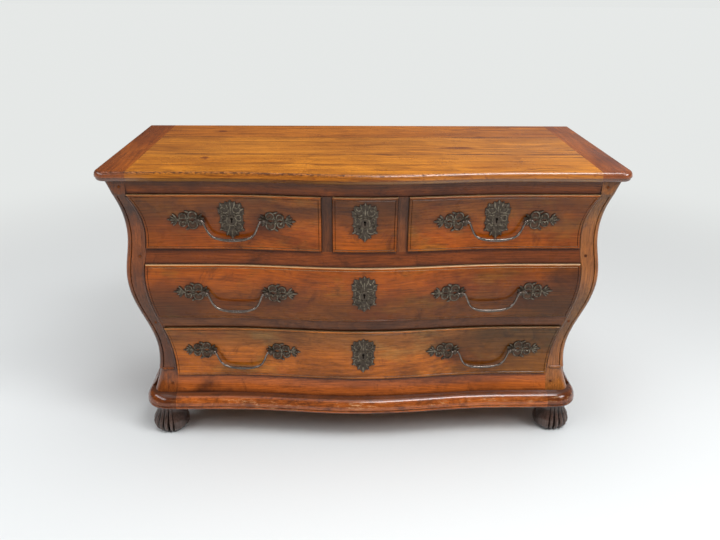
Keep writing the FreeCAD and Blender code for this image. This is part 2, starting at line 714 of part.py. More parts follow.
def escutcheon_outline():
    half = [part for row in ESCUTCHEON_SCROLLS for part in scroll(*row)]
    half += [leaf(*row) for row in ESCUTCHEON_LEAVES] + [disc(*row) for row in ESCUTCHEON_KNOTS]
    whole = half + [mirrored(part) for part in half] + [leaf(*row) for row in ESCUTCHEON_SPINE]
    return whole[0].multiFuse(whole[1:]).removeSplitter()


def surface_slab(x0, x1, z0, z1, proud, thick):
    """A thin slab that lies on the drawer fronts' curved face."""
    skin = [
        shaped_board(z0, z1, constant(x0), constant(x1), constant(out), constant(0.0), 16.0)
        for out in (proud + thick, proud)
    ]
    return skin[0].cut(skin[1])


def plate(x, z, outline):
    """A plate of the given outline, lying on the drawer front at x, z."""
    extent = (x - PLATE_REACH, x + PLATE_REACH, z - PLATE_RISE, z + PLATE_RISE)
    slab = surface_slab(*extent, DRAWER_PROUD + 2 * GLUE_LINE, PLATE_THICK)
    return slab.common(outline.translated(V(x, 0, z)))


def eye_point(x, z):
    return V(x, front_y(x, z, DRAWER_PROUD + PLATE_THICK + EYE_OUT), z)


def post(x, z, drawer):
    """A turned post with a shank through the front, a nut inside and an eye for the bail."""
    eye = eye_point(x, z)
    inner = drawer.inner - bow(x) + NUT_STAND
    shank = Part.makeCylinder(SHANK_RADIUS, inner + 2 * NUT_LONG - eye.y, eye, V(0, 1, 0))
    seat = V(x, eye.y + EYE_OUT - COLLAR_LONG, z)
    collar = Part.makeCylinder(COLLAR_RADIUS, COLLAR_LONG, seat, V(0, 1, 0))
    nut = Part.makeCylinder(NUT_RADIUS, NUT_LONG, V(x, inner, z), V(0, 1, 0))
    return Part.makeSphere(EYE_RADIUS, eye).multiFuse([shank, collar, nut])


def bail_rod(half):
    """The cast rod of a bail in the XZ plane: round sections along one smooth line, thick in the middle."""
    left = [(across - half, drop, radius) for across, drop, radius in BAIL_LINE]
    right = [(-x, drop, radius) for x, drop, radius in reversed(left)]
    knots = left + [(0.0, -BAIL_DROP, BAIL_GRIP)] + right
    centres = [V(x, 0, drop) for x, drop, _ in knots]
    route = Part.BSplineCurve()
    route.interpolate(Points=centres, InitialTangent=V(1, 0, 0), FinalTangent=V(1, 0, 0))
    sections = []
    for centre, (_, _, radius) in zip(centres, knots):
        heading = route.tangent(route.parameter(centre))[0]
        sections.append(Part.Wire([Part.makeCircle(radius, centre, heading)]))
    return Part.makeLoft(sections, True, False)


def bail(x, z):
    """A cast bail whose turned ends pivot in the eyes of its two posts."""
    left = eye_point(x - HANDLE_HALF, z)
    right = eye_point(x + HANDLE_HALF, z)
    half = (right - left).Length / 2
    parts = []
    for hand in (-1, 1):
        end = hand * (half + PIVOT_REACH)
        reach = PIVOT_REACH + BAIL_LINE[0][0]
        parts.append(Part.makeCylinder(BAIL_ROD, reach, V(end, 0, 0), V(-hand, 0, 0)))
    for at in (-2.2 * RING_WIDTH, 0.0, 2.2 * RING_WIDTH):
        start = V(at - RING_WIDTH / 2, 0, -BAIL_DROP)
        parts.append(Part.makeCylinder(BAIL_GRIP + RING_OUT, RING_WIDTH, start, V(1, 0, 0)))
    shape = bail_rod(half).multiFuse(parts)
    shape.rotate(V(0, 0, 0), V(0, 0, 1), math.degrees(math.atan2(right.y - left.y, right.x - left.x)))
    shape.translate((left + right) * 0.5)
    return shape


# ---- assembly: one STEP file for each named sub-part ----
def save(name, shape):
    shapes = shape if isinstance(shape, list) else [shape]
    whole = shapes[0] if len(shapes) == 1 else Part.makeCompound(shapes)
    whole.exportStep(f"parts/{name}.step")


def build_case():
    boards, clamps = top()
    save("top_boards", boards)
    save("top_end_clamps", clamps)

    panel = side_slab(SIDE_THICK, CASE_FOOT, CASE_TOP, STILE_BACK, REAR_STILE_FRONT)
    save("right_side_panel", panel)
    save("left_side_panel", mirrored(panel))
    rear = side_slab(REAR_STILE_WIDTH, CASE_FOOT, CASE_TOP, REAR_STILE_FRONT, CASE_BACK)
    save("rear_stiles", [rear, mirrored(rear)])

    stile = front_stile()
    pegs = []
    for name, (low, high) in RAILS.items():
        body = top_rail() if name == "top_rail" else rail(low, high)
        tongue = tenon(low, high)
        hole = peg_holes(low, high)
        stile = stile.cut([tongue, hole])
        body = body.multiFuse([tongue, mirrored(tongue)]).cut([hole, mirrored(hole)])
        body = body.cut(rail_cutters(low))
        pegs += [hole, mirrored(hole)]
        save(name, body)
    save("right_front_stile", stile)
    save("left_front_stile", mirrored(stile))
    save("joint_pegs", pegs)

    low, high = RAILS["upper_rail"][1], RAILS["top_rail"][0]
    divider = shaped_board(
        low, high, constant(DIVIDER_INNER), constant(DIVIDER_OUTER), constant(0.0), constant(STILE_BACK)
    )
    save("drawer_dividers", [divider, mirrored(divider)])


def rail_cutters(rail_low):
    """Mortises in the underside of a rail for the bolts of the drawers below it."""
    below = [d for d in DRAWERS if abs(d.row[1] + GAP - rail_low) < EPS]
    return [bolt_box(d, BOLT_CLEAR, BOLT_THROW + 2.0) for d in below]


def build_back():
    void = outline_prism(SIDE_THICK, CASE_FOOT, CASE_TOP, STILE_BACK, CASE_BACK)
    between = outline_prism(REAR_STILE_WIDTH, CASE_FOOT, CASE_TOP, REAR_STILE_FRONT, CASE_BACK)
    board_front = CASE_BACK - BACK_BOARD_THICK
    cuts = steps(CASE_FOOT, CASE_TOP, 3)
    boards = [
        between.common(box(-WIDTH, WIDTH, board_front, CASE_BACK, cuts[i], cuts[i + 1])) for i in range(3)
    ]
    save("back_boards", boards)
    upper, lower = [
        between.common(box(-WIDTH, WIDTH, REAR_STILE_FRONT, board_front, low, low + BACK_RAIL_HEIGHT))
        for low in (CASE_TOP - BACK_RAIL_HEIGHT, CASE_FOOT + FLOOR_THICK + 2)
    ]
    save("back_rails", [upper, lower, base_frame()[3]])
    floor = box(-WIDTH, WIDTH, STILE_BACK, REAR_STILE_FRONT, CASE_FOOT, CASE_FOOT + FLOOR_THICK)
    save("bottom_board", void.common(floor))
    return void


def build_runners(void):
    """Runners carry the drawers, guides keep them straight between the curved sides."""
    runners = []
    guides = []
    for row in (ROW_TOP, ROW_MIDDLE, ROW_BOTTOM):
        reach = box_reach(row)
        top_z = row[0] + BOX_RISE - RUNNER_CLEAR
        strip = box(reach - RUNNER_WIDTH, WIDTH, STILE_BACK, REAR_STILE_FRONT, top_z - RUNNER_HEIGHT, top_z)
        side = reach + GUIDE_CLEAR
        fence = box(side, side + GUIDE_THICK, STILE_BACK, REAR_STILE_FRONT, top_z, top_z + GUIDE_HEIGHT)
        runners += [void.common(strip), mirrored(void.common(strip))]
        guides += [void.common(fence), mirrored(void.common(fence))]
    top_z = ROW_TOP[0] + BOX_RISE - RUNNER_CLEAR
    rear = CASE_BACK - BACK_BOARD_THICK
    inner, outer = DIVIDER_INNER + 3 - RUNNER_WIDTH, DIVIDER_OUTER - 3 + RUNNER_WIDTH
    middle = box(inner, outer, STILE_BACK, rear, top_z - RUNNER_HEIGHT, top_z)
    keeper = box(DIVIDER_INNER - 1, DIVIDER_OUTER + 1, STILE_BACK, rear, top_z, top_z + GUIDE_HEIGHT)
    runners += [middle, mirrored(middle)]
    guides += [keeper, mirrored(keeper)]
    save("drawer_runners", runners)
    save("drawer_guides", guides)


def build_base():
    front, blocks, side, _ = base_frame()
    sockets = foot_sockets()
    cove = side_cove([blocks[0], side])
    save("front_base_moulding", front)
    save("base_corner_blocks", [block.cut(sockets) for block in blocks])
    save("side_base_mouldings", [side.cut(sockets), mirrored(side).cut(sockets)])
    save("side_cove_mouldings", [cove, mirrored(cove)])
    foot = bun_foot()
    place = V(FOOT_X, FRONT_FOOT_Y, 0)
    right = foot.translated(place)
    save("front_right_foot", right)
    save("front_left_foot", mirrored(right))
    back = mirrored_y(foot).translated(V(FOOT_X, REAR_FOOT_Y, 0))
    save("rear_feet", [back, mirrored(back)])


def foot_sockets():
    holes = []
    for side in (-1, 1):
        for y in (FRONT_FOOT_Y, REAR_FOOT_Y):
            mouth = V(side * FOOT_X, y, BASE_FOOT)
            holes.append(Part.makeCylinder(TENON_RADIUS, FOOT_TENON_TOP - BASE_FOOT, mouth))
    return holes


def mirrored_y(shape):
    return shape.mirror(V(0, 0, 0), V(0, 1, 0))


def build_drawer(drawer):
    save(f"{drawer.name}_drawer_front", drawer_front(drawer))
    save(f"{drawer.name}_drawer_box", drawer_box(drawer))
    save(f"{drawer.name}_lock", lock(drawer))
    save(f"{drawer.name}_lock_bolt", bolt_box(drawer, 0.0, 0.0))
    escutcheon = plate(drawer.key_x, drawer.key_z, escutcheon_outline())
    hole = keyhole(drawer.key_x, drawer.key_z, -DEPTH, 0)
    save(f"{drawer.name}_escutcheon", escutcheon.cut(hole))
    mounts = []
    z = HANDLE_Z[drawer.level]
    outline = handle_outline()
    for handle in drawer.handles:
        for hand, shape in ((-1, mirrored(outline)), (1, outline)):
            x = handle + hand * HANDLE_HALF
            stem = post(x, z, drawer)
            mounts += [stem.cut(eye_bore(handle, z)), plate(x, z, shape).cut(stem)]
    if mounts:
        save(f"{drawer.name}_handle_mounts", mounts)
    for handle in drawer.handles:
        side = "" if len(drawer.handles) == 1 else ("_left" if handle < 0 else "_right")
        save(f"{drawer.name}{side}_bail", bail(handle, z))


def eye_bore(handle, z):
    left = eye_point(handle - HANDLE_HALF, z)
    right = eye_point(handle + HANDLE_HALF, z)
    along = (right - left).normalize()
    return Part.makeCylinder(BAIL_ROD + 0.1, (right - left).Length + 40, left - along * 20, along)


os.makedirs("parts", exist_ok=True)
build_case()
build_runners(build_back())
build_base()
for one in DRAWERS:
    build_drawer(one)
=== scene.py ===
# %% [markdown]
# # A bombe chest of drawers
#
# The chest is a plain box of drawers whose front and sides swell out at the middle and draw in again
# above the feet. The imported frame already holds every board, drawer, lock and bail as its own body.
# This lesson dresses them: waxed wood with a grain that follows each board, and dark cast bronze.
# The scene is in metres, and new pieces are drawn in millimetres. X runs along the front, -Y is the
# front and Z is up.

# %% Tools and frame
import math
import random

import bmesh
import bpy
from mathutils import Matrix, Vector


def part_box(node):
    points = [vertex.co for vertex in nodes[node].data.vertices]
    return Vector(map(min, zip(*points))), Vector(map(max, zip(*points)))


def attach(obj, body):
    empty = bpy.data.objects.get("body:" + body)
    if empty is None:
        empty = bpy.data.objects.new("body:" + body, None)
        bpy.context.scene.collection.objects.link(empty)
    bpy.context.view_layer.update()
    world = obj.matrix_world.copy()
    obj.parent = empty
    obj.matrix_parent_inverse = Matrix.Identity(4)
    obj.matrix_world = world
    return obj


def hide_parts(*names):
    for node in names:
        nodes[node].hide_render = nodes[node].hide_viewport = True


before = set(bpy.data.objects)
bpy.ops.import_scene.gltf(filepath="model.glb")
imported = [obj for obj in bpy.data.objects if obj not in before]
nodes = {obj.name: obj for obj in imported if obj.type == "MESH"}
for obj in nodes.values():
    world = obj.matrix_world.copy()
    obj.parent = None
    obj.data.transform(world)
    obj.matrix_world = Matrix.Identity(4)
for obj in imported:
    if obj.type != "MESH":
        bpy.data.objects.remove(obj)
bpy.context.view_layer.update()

# %% [markdown]
# ## Node helpers
#
# Materials are built from nodes. Written out, a node takes a line for every value and link, so these
# helpers take one: `feed` gives a socket a link or a value, `add` makes a node and fills it, and the
# others each make one common kind of node and return its output, to be written one inside another.

# %% Helpers for node trees
NOISE_LOW, NOISE_HIGH = 0.3, 0.7
MIX_AMOUNT, MIX_FIRST, MIX_SECOND, MIX_RESULT = 0, 6, 7, 2  # the colour sockets of a Mix node


def feed(tree, source, target):
    """Links the source to the target socket, or sets a number, a vector or a colour without alpha."""
    if isinstance(source, bpy.types.NodeSocket):
        tree.links.new(source, target)
    elif target.type == "RGBA":
        target.default_value = (*source, 1.0)
    else:
        target.default_value = source


def fill(tree, inputs, values):
    for label, value in values.items():
        feed(tree, value, inputs[label])


def add(tree, kind, **values):
    """Adds a node. A value goes to the node's own setting of that name, or else to that input."""
    node = tree.nodes.new(kind)
    for name, value in values.items():
        if hasattr(node, name):
            setattr(node, name, value)
        else:
            feed(tree, value, node.inputs[name.replace("_", " ")])
    return node


def maths(tree, operation, *terms, clamp=False):
    node = add(tree, "ShaderNodeMath", operation=operation, use_clamp=clamp)
    for socket, term in zip(node.inputs, terms):
        feed(tree, term, socket)
    return node.outputs[0]


def times(tree, first, *others):
    for other in others:
        first = maths(tree, "MULTIPLY", first, other)
    return first


def plus(tree, first, *others):
    for other in others:
        first = maths(tree, "ADD", first, other)
    return first


def minus(tree, a, b):
    return maths(tree, "SUBTRACT", a, b)


def vector_maths(tree, operation, *vectors, **values):
    node = add(tree, "ShaderNodeVectorMath", operation=operation, **values)
    for socket, vector in zip(node.inputs, vectors):
        feed(tree, vector, socket)
    return node.outputs[0]


def place_on(tree):
    """Position on the piece, in metres."""
    return add(tree, "ShaderNodeTexCoord").outputs["Object"]


def split(tree, vector):
    """The X, Y and Z of a vector."""
    return add(tree, "ShaderNodeSeparateXYZ", Vector=vector).outputs


def lean_of(tree):
    """Where a face looks: 1 straight up, 0 sideways and -1 straight down."""
    return split(tree, add(tree, "ShaderNodeNewGeometry").outputs["Normal"])["Z"]


def openness(tree, distance):
    """1 on an open face, less where something else is nearer than distance."""
    return add(tree, "ShaderNodeAmbientOcclusion", samples=4, Distance=distance).outputs["AO"]


def stretch(tree, vector, scale, offset=(0, 0, 0)):
    return add(tree, "ShaderNodeMapping", Vector=vector, Scale=scale, Location=offset).outputs[0]


def noise(tree, vector, scale, detail=2.0, rough=0.5, distort=0.0):
    """Cloudy noise. A scale of three numbers stretches it: the smaller a number, the longer the clouds."""
    if isinstance(scale, tuple):
        vector = stretch(tree, vector, scale)
        scale = 1.0
    cloud = add(tree, "ShaderNodeTexNoise", Vector=vector, Scale=scale, Detail=detail, Roughness=rough,
                Distortion=distort)
    return cloud.outputs["Fac"]


def remap(tree, value, low, high, to_low=0.0, to_high=1.0, kind="LINEAR"):
    node = add(tree, "ShaderNodeMapRange", interpolation_type=kind, Value=value, From_Min=low, From_Max=high,
               To_Min=to_low, To_Max=to_high)
    return node.outputs["Result"]


def ease(tree, value, low, high, to_low=0.0, to_high=1.0):
    """Like remap, with a soft start and end."""
    return remap(tree, value, low, high, to_low, to_high, "SMOOTHSTEP")


def vary(tree, cloud, least, most):
    """Spreads a noise, which mostly stays between NOISE_LOW and NOISE_HIGH, from least to most."""
    return remap(tree, cloud, NOISE_LOW, NOISE_HIGH, least, most)


def blend_colours(tree, amount, a, b, mode="MIX"):
    node = add(tree, "ShaderNodeMix", data_type="RGBA", blend_type=mode)
    for index, value in ((MIX_AMOUNT, amount), (MIX_FIRST, a), (MIX_SECOND, b)):
        feed(tree, value, node.inputs[index])
    return node.outputs[MIX_RESULT]


def emboss(tree, height, strength, distance):
    """A normal that follows a height, for relief too fine to model."""
    return add(tree, "ShaderNodeBump", Height=height, Strength=strength, Distance=distance).outputs[0]


def new_group(name, inputs, outputs):
    """A shader group, its given values and the inputs of its end. A socket's kind stands by its name."""
    tree = bpy.data.node_groups.new(name, "ShaderNodeTree")
    for side, sockets in (("INPUT", inputs), ("OUTPUT", outputs)):
        for label, kind in sockets.items():
            tree.interface.new_socket(label, in_out=side, socket_type="NodeSocket" + kind)
    return tree, tree.nodes.new("NodeGroupInput").outputs, tree.nodes.new("NodeGroupOutput").inputs


def new_material(name):
    """A material, its tree and the inputs of its Principled BSDF."""
    material = bpy.data.materials.new(name)
    material.use_nodes = True
    return material, material.node_tree, material.node_tree.nodes["Principled BSDF"].inputs


# %% [markdown]
# ## Smooth curves from a faceted frame
#
# The frame's meshes are made of flat triangles. A real board is planed and scraped until the light
# runs over it without a break, so a modifier shades faces that meet at a gentle angle as one surface
# and leaves the arrises sharp. The frame's own mesh isn't changed.

# %% A modifier that shades gentle bends smooth
SMOOTH_ANGLE = math.radians(32)
WELD = 1e-6


def smoothing_group():
    """Geometry nodes: shade smooth, but keep edges sharper than SMOOTH_ANGLE."""
    tree = bpy.data.node_groups.new("planed_and_scraped", "GeometryNodeTree")
    for side in ("INPUT", "OUTPUT"):
        tree.interface.new_socket("Geometry", in_out=side, socket_type="NodeSocketGeometry")
    start = tree.nodes.new("NodeGroupInput")
    weld = add(tree, "GeometryNodeMergeByDistance", Geometry=start.outputs[0], Distance=WELD)
    angle = tree.nodes.new("GeometryNodeInputMeshEdgeAngle")
    sharp = add(tree, "FunctionNodeCompare", operation="GREATER_THAN", A=angle.outputs["Unsigned Angle"],
                B=SMOOTH_ANGLE)
    faces = add(tree, "GeometryNodeSetShadeSmooth", Geometry=weld.outputs[0])
    edges = add(tree, "GeometryNodeSetShadeSmooth", domain="EDGE", Geometry=faces.outputs[0],
                Selection=sharp.outputs["Result"], Shade_Smooth=False)
    feed(tree, edges.outputs[0], tree.nodes.new("NodeGroupOutput").inputs[0])
    return tree


SMOOTHING = smoothing_group()


def smooth(piece):
    piece.modifiers.new("planed_and_scraped", "NODES").node_group = SMOOTHING


for node in nodes.values():
    smooth(node)
print(len(nodes), "frame pieces shaded")

# %% [markdown]
# ## Wood grain
#
# A board is a slice through nested cones of yearly growth. Where the saw runs nearly along the cones
# the rings open into long flames; near the quarter they close into straight lines. The group cuts
# slightly bent cones with the board's own position, so the figure runs round every moulding as it
# does in real wood. Finer streaks and pores lie along the grain. Position is given with the grain
# along X, so each material first turns its board.

# %% The wood grain group
HEART_HEIGHT, CONE_TAPER, SWAY = -0.03, 0.02, 0.12
LATE_WOOD = 2.2  # the higher, the narrower the dark part of a ring
RING_END = 0.93
PORE_RELIEF, FIBRE_RELIEF = 0.6, 0.35


def wood_grain_group():
    inputs = {"Position": "Vector", "Ring Width": "Float", "Light": "Color", "Middle": "Color",
              "Dark": "Color", "Flame": "Float", "Streak": "Float"}
    tree, given, made = new_group("wood_grain", inputs, {"Color": "Color", "Height": "Float"})
    place = given["Position"]

    bend = add(tree, "ShaderNodeTexNoise", Vector=stretch(tree, place, (1.3, 5.0, 5.0)), Scale=1.0,
               Detail=2.0, Roughness=0.45)
    centred = vector_maths(tree, "SUBTRACT", bend.outputs["Color"], (0.5, 0.5, 0.5))
    bent = vector_maths(tree, "ADD", place, vector_maths(tree, "SCALE", centred, Scale=SWAY))

    along, level, up = split(tree, bent)
    depth = plus(tree, level, HEART_HEIGHT)
    radius = maths(tree, "SQRT", plus(tree, times(tree, depth, depth), times(tree, up, up)))
    cone = maths(tree, "MULTIPLY_ADD", along, CONE_TAPER, radius)
    year = maths(tree, "FRACT", maths(tree, "DIVIDE", cone, given["Ring Width"]))
    late = maths(tree, "POWER", year, LATE_WOOD)
    ring = times(tree, late, minus(tree, 1.0, remap(tree, year, RING_END, 1.0)))

    fibres = noise(tree, place, (5.0, 260.0, 260.0), 3.0, 0.6)
    streaks = noise(tree, bent, (1.6, 85.0, 85.0), 5.0, 0.68)
    clouds = noise(tree, place, (3.2, 8.0, 8.0), 4.0, 0.62)
    pores = remap(tree, noise(tree, place, (30.0, 900.0, 900.0), 1.0, 0.5), 0.58, 0.70)

    light = blend_colours(tree, ease(tree, clouds, 0.35, 0.68), given["Light"], given["Middle"])
    ringed = blend_colours(tree, times(tree, ring, given["Flame"]), light, given["Dark"])
    bands = times(tree, ease(tree, streaks, 0.50, 0.68), given["Streak"])
    streaked = blend_colours(tree, bands, ringed, given["Dark"])
    shade = times(tree, vary(tree, fibres, 0.70, 1.27), remap(tree, pores, 0.0, 1.0, 1.0, 0.62))
    fill(tree, made, {
        "Color": vector_maths(tree, "SCALE", streaked, Scale=shade),
        "Height": minus(tree, times(tree, fibres, FIBRE_RELIEF), times(tree, pores, PORE_RELIEF)),
    })
    return tree


WOOD_GRAIN = wood_grain_group()
print("wood grain group has", len(WOOD_GRAIN.nodes), "nodes")

# %% [markdown]
# ## Wax and age
#
# Two centuries of wax, hands and dusters leave a chest shiny where it is touched and dull where it
# isn't. The group gives a roughness that wanders from place to place, the share of dark stains,
# smears and specks, and a slow ripple, because no old board is quite flat.

# %% The wax and age group


def wax_group():
    tree, given, made = new_group("wax_and_age", {"Position": "Vector", "Gloss": "Float", "Stain": "Float"},
                                  {"Roughness": "Float", "Stains": "Float", "Ripple": "Float"})
    place = given["Position"]
    patches = noise(tree, place, 9.0, 4.0, 0.6, 0.4)
    rubbing = noise(tree, place, 60.0, 2.0, 0.5)
    blotches = noise(tree, stretch(tree, place, (1.0, 1.6, 1.6), (3.1, 1.7, 0.4)), 4.0, 5.0, 0.62, 0.6)
    smears = noise(tree, place, 17.0, 6.0, 0.74, 0.8)
    dots = add(tree, "ShaderNodeTexVoronoi", Vector=stretch(tree, place, (0.6, 1.4, 1.4)), Scale=7.0,
               Randomness=1.0)
    specks = ease(tree, dots.outputs["Distance"], 0.02, 0.075, 1.0, 0.0)
    marks = ease(tree, blotches, 0.50, 0.72)
    for mark, strength in ((ease(tree, smears, 0.52, 0.70), 0.7), (specks, 0.8)):
        marks = maths(tree, "MAXIMUM", marks, times(tree, mark, strength))
    change = plus(tree, vary(tree, patches, -0.07, 0.12), vary(tree, rubbing, -0.03, 0.04))
    fill(tree, made, {
        "Roughness": maths(tree, "ADD", given["Gloss"], change, clamp=True),
        "Stains": times(tree, marks, given["Stain"]),
        "Ripple": noise(tree, place, (5.0, 14.0, 14.0), 2.0, 0.5),
    })
    return tree


WAX = wax_group()
print("wax group has", len(WAX.nodes), "nodes")

# %% [markdown]
# ## The waxed woods
#
# One recipe serves every board: the board's position, turned so the grain runs the right way and
# shifted so no two boards share a figure, then grain, then stains, then a thin clear coat of wax.
# Four things change its colour by place. Faces that lean down are painted grey-brown, as painted shade
# and a painted grey reflection. Edges that look up are painted lighter, partly wear and partly a painted
# highlight. Some boards are sooty towards one end. And every corner is painted darker as painted shade,
# wide and soft, and as a tight line round the metal.

# %% A recipe for one waxed board
ALONG_X = (0.0, 0.0, 0.0)
ALONG_Y = (0.0, 0.0, math.pi / 2)
ALONG_Z = (0.0, math.pi / 2, 0.0)
# A pale tone for edges that look up: partly real wear, partly a painted highlight.
WEAR_AND_HIGHLIGHT = (0.70, 0.42, 0.20)
# A multiplying tint of painted shade and painted grey reflection, for faces that lean down.
SHADE_BELOW_TINT = (0.47, 0.62, 1.0)
SOOT = (0.30, 0.42, 0.62)
# The second share is how dark the painted shade in corners is, as a share of the dark tone.
STAIN_SHARE, SHADE_SHARE = 0.8, 0.22  # of the wood's dark tone
SHEEN = 0.05
THIN_WAX, GLEAM = (0.13, 1.5), (0.25, 1.75)  # roughness and refraction of the clear coat
BOARD_JUMP = (1.9, 0.31, 0.47)
# Painted shade in corners, and a tight painted shadow line round the metal: strength and reach.
CORNER_SHADE, CLOSE_SHADE_REACH = 0.9, 0.009
RIPPLE_RELIEF, GRAIN_STRENGTH, GRAIN_DEPTH = 1.4, 0.25, 0.0006


def scaled(tone, share):
    return tuple(share * v for v in tone)


def place_of(tree, boards):
    """Position on the piece, moved to another part of the tree at each seam between boards."""
    place = place_on(tree)
    if not boards:
        return place
    deep = split(tree, place)["Y"]
    board = plus(tree, *(maths(tree, "GREATER_THAN", deep, seam) for seam in boards))
    return vector_maths(tree, "ADD", place, vector_maths(tree, "SCALE", BOARD_JUMP, Scale=board))


def sooted(tree, colour, start, end, share):
    """Darkens the wood gradually between two places along the chest, with a ragged edge."""
    place = place_on(tree)
    ragged = vary(tree, noise(tree, place, 11.0, 4.0, 0.6), -0.09, 0.09)
    mask = ease(tree, plus(tree, split(tree, place)["X"], ragged), start, end)
    return blend_colours(tree, times(tree, mask, share), colour, SOOT, "MULTIPLY")


def waxed_wood(name, tones, turn, shift, ring=0.007, flame=0.3, streak=0.35, gloss=0.28, stain=0.6,
               coat=0.5, reach=0.018, dull=0.8, wear_and_highlight=0.0, boards=(), finish=None, gleam=False, soot=None,
               close_grime=0.0):
    """One board's material. finish returns a colour and where the wax is gone, which gleam needs."""
    material, tree, shader = new_material(name)
    turned = add(tree, "ShaderNodeMapping", Vector=place_of(tree, boards), Rotation=turn, Location=shift)
    place = turned.outputs[0]
    light, middle, dark = tones
    grain = add(tree, "ShaderNodeGroup", node_tree=WOOD_GRAIN, Position=place, Ring_Width=ring, Light=light,
                Middle=middle, Dark=dark, Flame=flame, Streak=streak).outputs
    wax = add(tree, "ShaderNodeGroup", node_tree=WAX, Position=place, Gloss=gloss, Stain=stain).outputs

    colour = blend_colours(tree, wax["Stains"], grain["Color"], scaled(dark, STAIN_SHARE))
    if finish:
        colour, waxless = finish(tree, colour)
    if soot:
        colour = sooted(tree, colour, *soot)
    lean = lean_of(tree)
    # Faces that lean down are painted darker and greyer, as painted shade and a painted reflection.
    shaded_below = times(tree, ease(tree, lean, 0.0, -0.26), dull)
    colour = blend_colours(tree, shaded_below, colour, SHADE_BELOW_TINT, "MULTIPLY")
    # Edges that look up are painted lighter: partly wear, partly a painted highlight.
    lightened = times(tree, ease(tree, lean, 0.42, 0.85), wear_and_highlight)
    colour = blend_colours(tree, lightened, colour, WEAR_AND_HIGHLIGHT)
    # Painted shade: the wood is darkened where something else is near, in corners, gaps and round the metal.
    for distance, least, most, share in ((reach, 0.35, 0.95, CORNER_SHADE), (CLOSE_SHADE_REACH, 0.50, 0.985, close_grime)):
        if share:
            shade_mask = times(tree, remap(tree, openness(tree, distance), least, most, 1.0, 0.0), share)
            colour = blend_colours(tree, shade_mask, colour, scaled(dark, SHADE_SHARE))

    if gleam:
        polished = remap(tree, lean, 0.99, 0.85, coat, 1.0)
        coat = times(tree, polished, minus(tree, 1.0, waxless))
    coat_roughness, coat_refraction = GLEAM if gleam else THIN_WAX
    relief = maths(tree, "MULTIPLY_ADD", wax["Ripple"], RIPPLE_RELIEF, grain["Height"])
    fill(tree, shader, {
        "Base Color": colour, "Roughness": wax["Roughness"], "Specular IOR Level": SHEEN,
        "Coat Weight": coat, "Coat Roughness": coat_roughness, "Coat IOR": coat_refraction,
        "Normal": emboss(tree, relief, GRAIN_STRENGTH, GRAIN_DEPTH),
    })
    return material


# %% [markdown]
# ## The tones of the woods
#
# All the wood is stained and waxed, and each board has three tones: the light ground, the middle of a
# cloud and the dark of a ring. They differ from board to board, as sun and smoke have reached some
# boards more than others. The insides and the back were never waxed and have stayed pale.

# %% Tones, light, middle and dark
HONEY = ((0.60, 0.213, 0.021), (0.44, 0.143, 0.014), (0.11, 0.026, 0.008))
CLAMP = ((0.37, 0.095, 0.012), (0.22, 0.050, 0.008), (0.07, 0.016, 0.006))
RED_BROWN = ((0.24, 0.056, 0.008), (0.14, 0.032, 0.006), (0.030, 0.009, 0.005))
WARM_BROWN = ((0.27, 0.066, 0.009), (0.16, 0.040, 0.007), (0.035, 0.012, 0.006))
RUSSET = ((0.24, 0.052, 0.006), (0.14, 0.031, 0.005), (0.036, 0.010, 0.004))
BRIGHT_RUSSET = ((0.50, 0.120, 0.016), (0.30, 0.070, 0.011), (0.065, 0.018, 0.007))
SOOTY = ((0.24, 0.066, 0.014), (0.145, 0.040, 0.010), (0.035, 0.012, 0.007))
OCHRE = ((0.38, 0.125, 0.020), (0.24, 0.072, 0.014), (0.060, 0.020, 0.008))
BROWNED = ((0.47, 0.138, 0.015), (0.27, 0.080, 0.010), (0.062, 0.020, 0.008))
ORANGE = ((0.50, 0.118, 0.006), (0.27, 0.062, 0.006), (0.060, 0.017, 0.006))
PLAIN = ((0.42, 0.26, 0.13), (0.33, 0.19, 0.09), (0.17, 0.09, 0.04))
BLACKENED = ((0.125, 0.072, 0.055), (0.078, 0.047, 0.037), (0.026, 0.018, 0.015))
RAW = dict(coat=0.0, dull=0.0)


def lighter(tones, share):
    return tuple(scaled(tone, share) for tone in tones)


print("twelve tones, from", HONEY[0], "to", BLACKENED[2])

# %% [markdown]
# ## The top
#
# Three boards lie side by side between the clamps. The seams have opened to dark lines, the front arris
# is cracked and dented along its whole length, and the moulding below it is redder than the field,
# because polish collects there, and painted darker where it bends down, as painted shade. Seams and knots
# have fixed places; cracks and flecks come from noise.

# %% Wear of the top
SEAMS = (-0.085, 0.136)
SEAM_HALF, SEAM_STAIN = 0.0011, 0.014
CRACK = (0.05, 0.018, 0.010)
MOULDING_TONE = (0.19, 0.048, 0.012)
KNOT_TONE = (0.14, 0.032, 0.010)
LEDGE_TONE = (0.075, 0.028, 0.014)
BOARD_TINTS = ((1.04, 1.05, 0.9), (1.0, 1.0, 1.0), (0.90, 0.80, 0.85))
KNOTS = (  # middle and half lengths, x and y
    (0.265, -0.0065, 0.060, 0.014), (0.046, -0.256, 0.034, 0.005), (-0.428, 0.2185, 0.013, 0.015),
    (-0.420, -0.131, 0.012, 0.018), (0.357, 0.143, 0.016, 0.008), (0.42, -0.245, 0.018, 0.004),
)


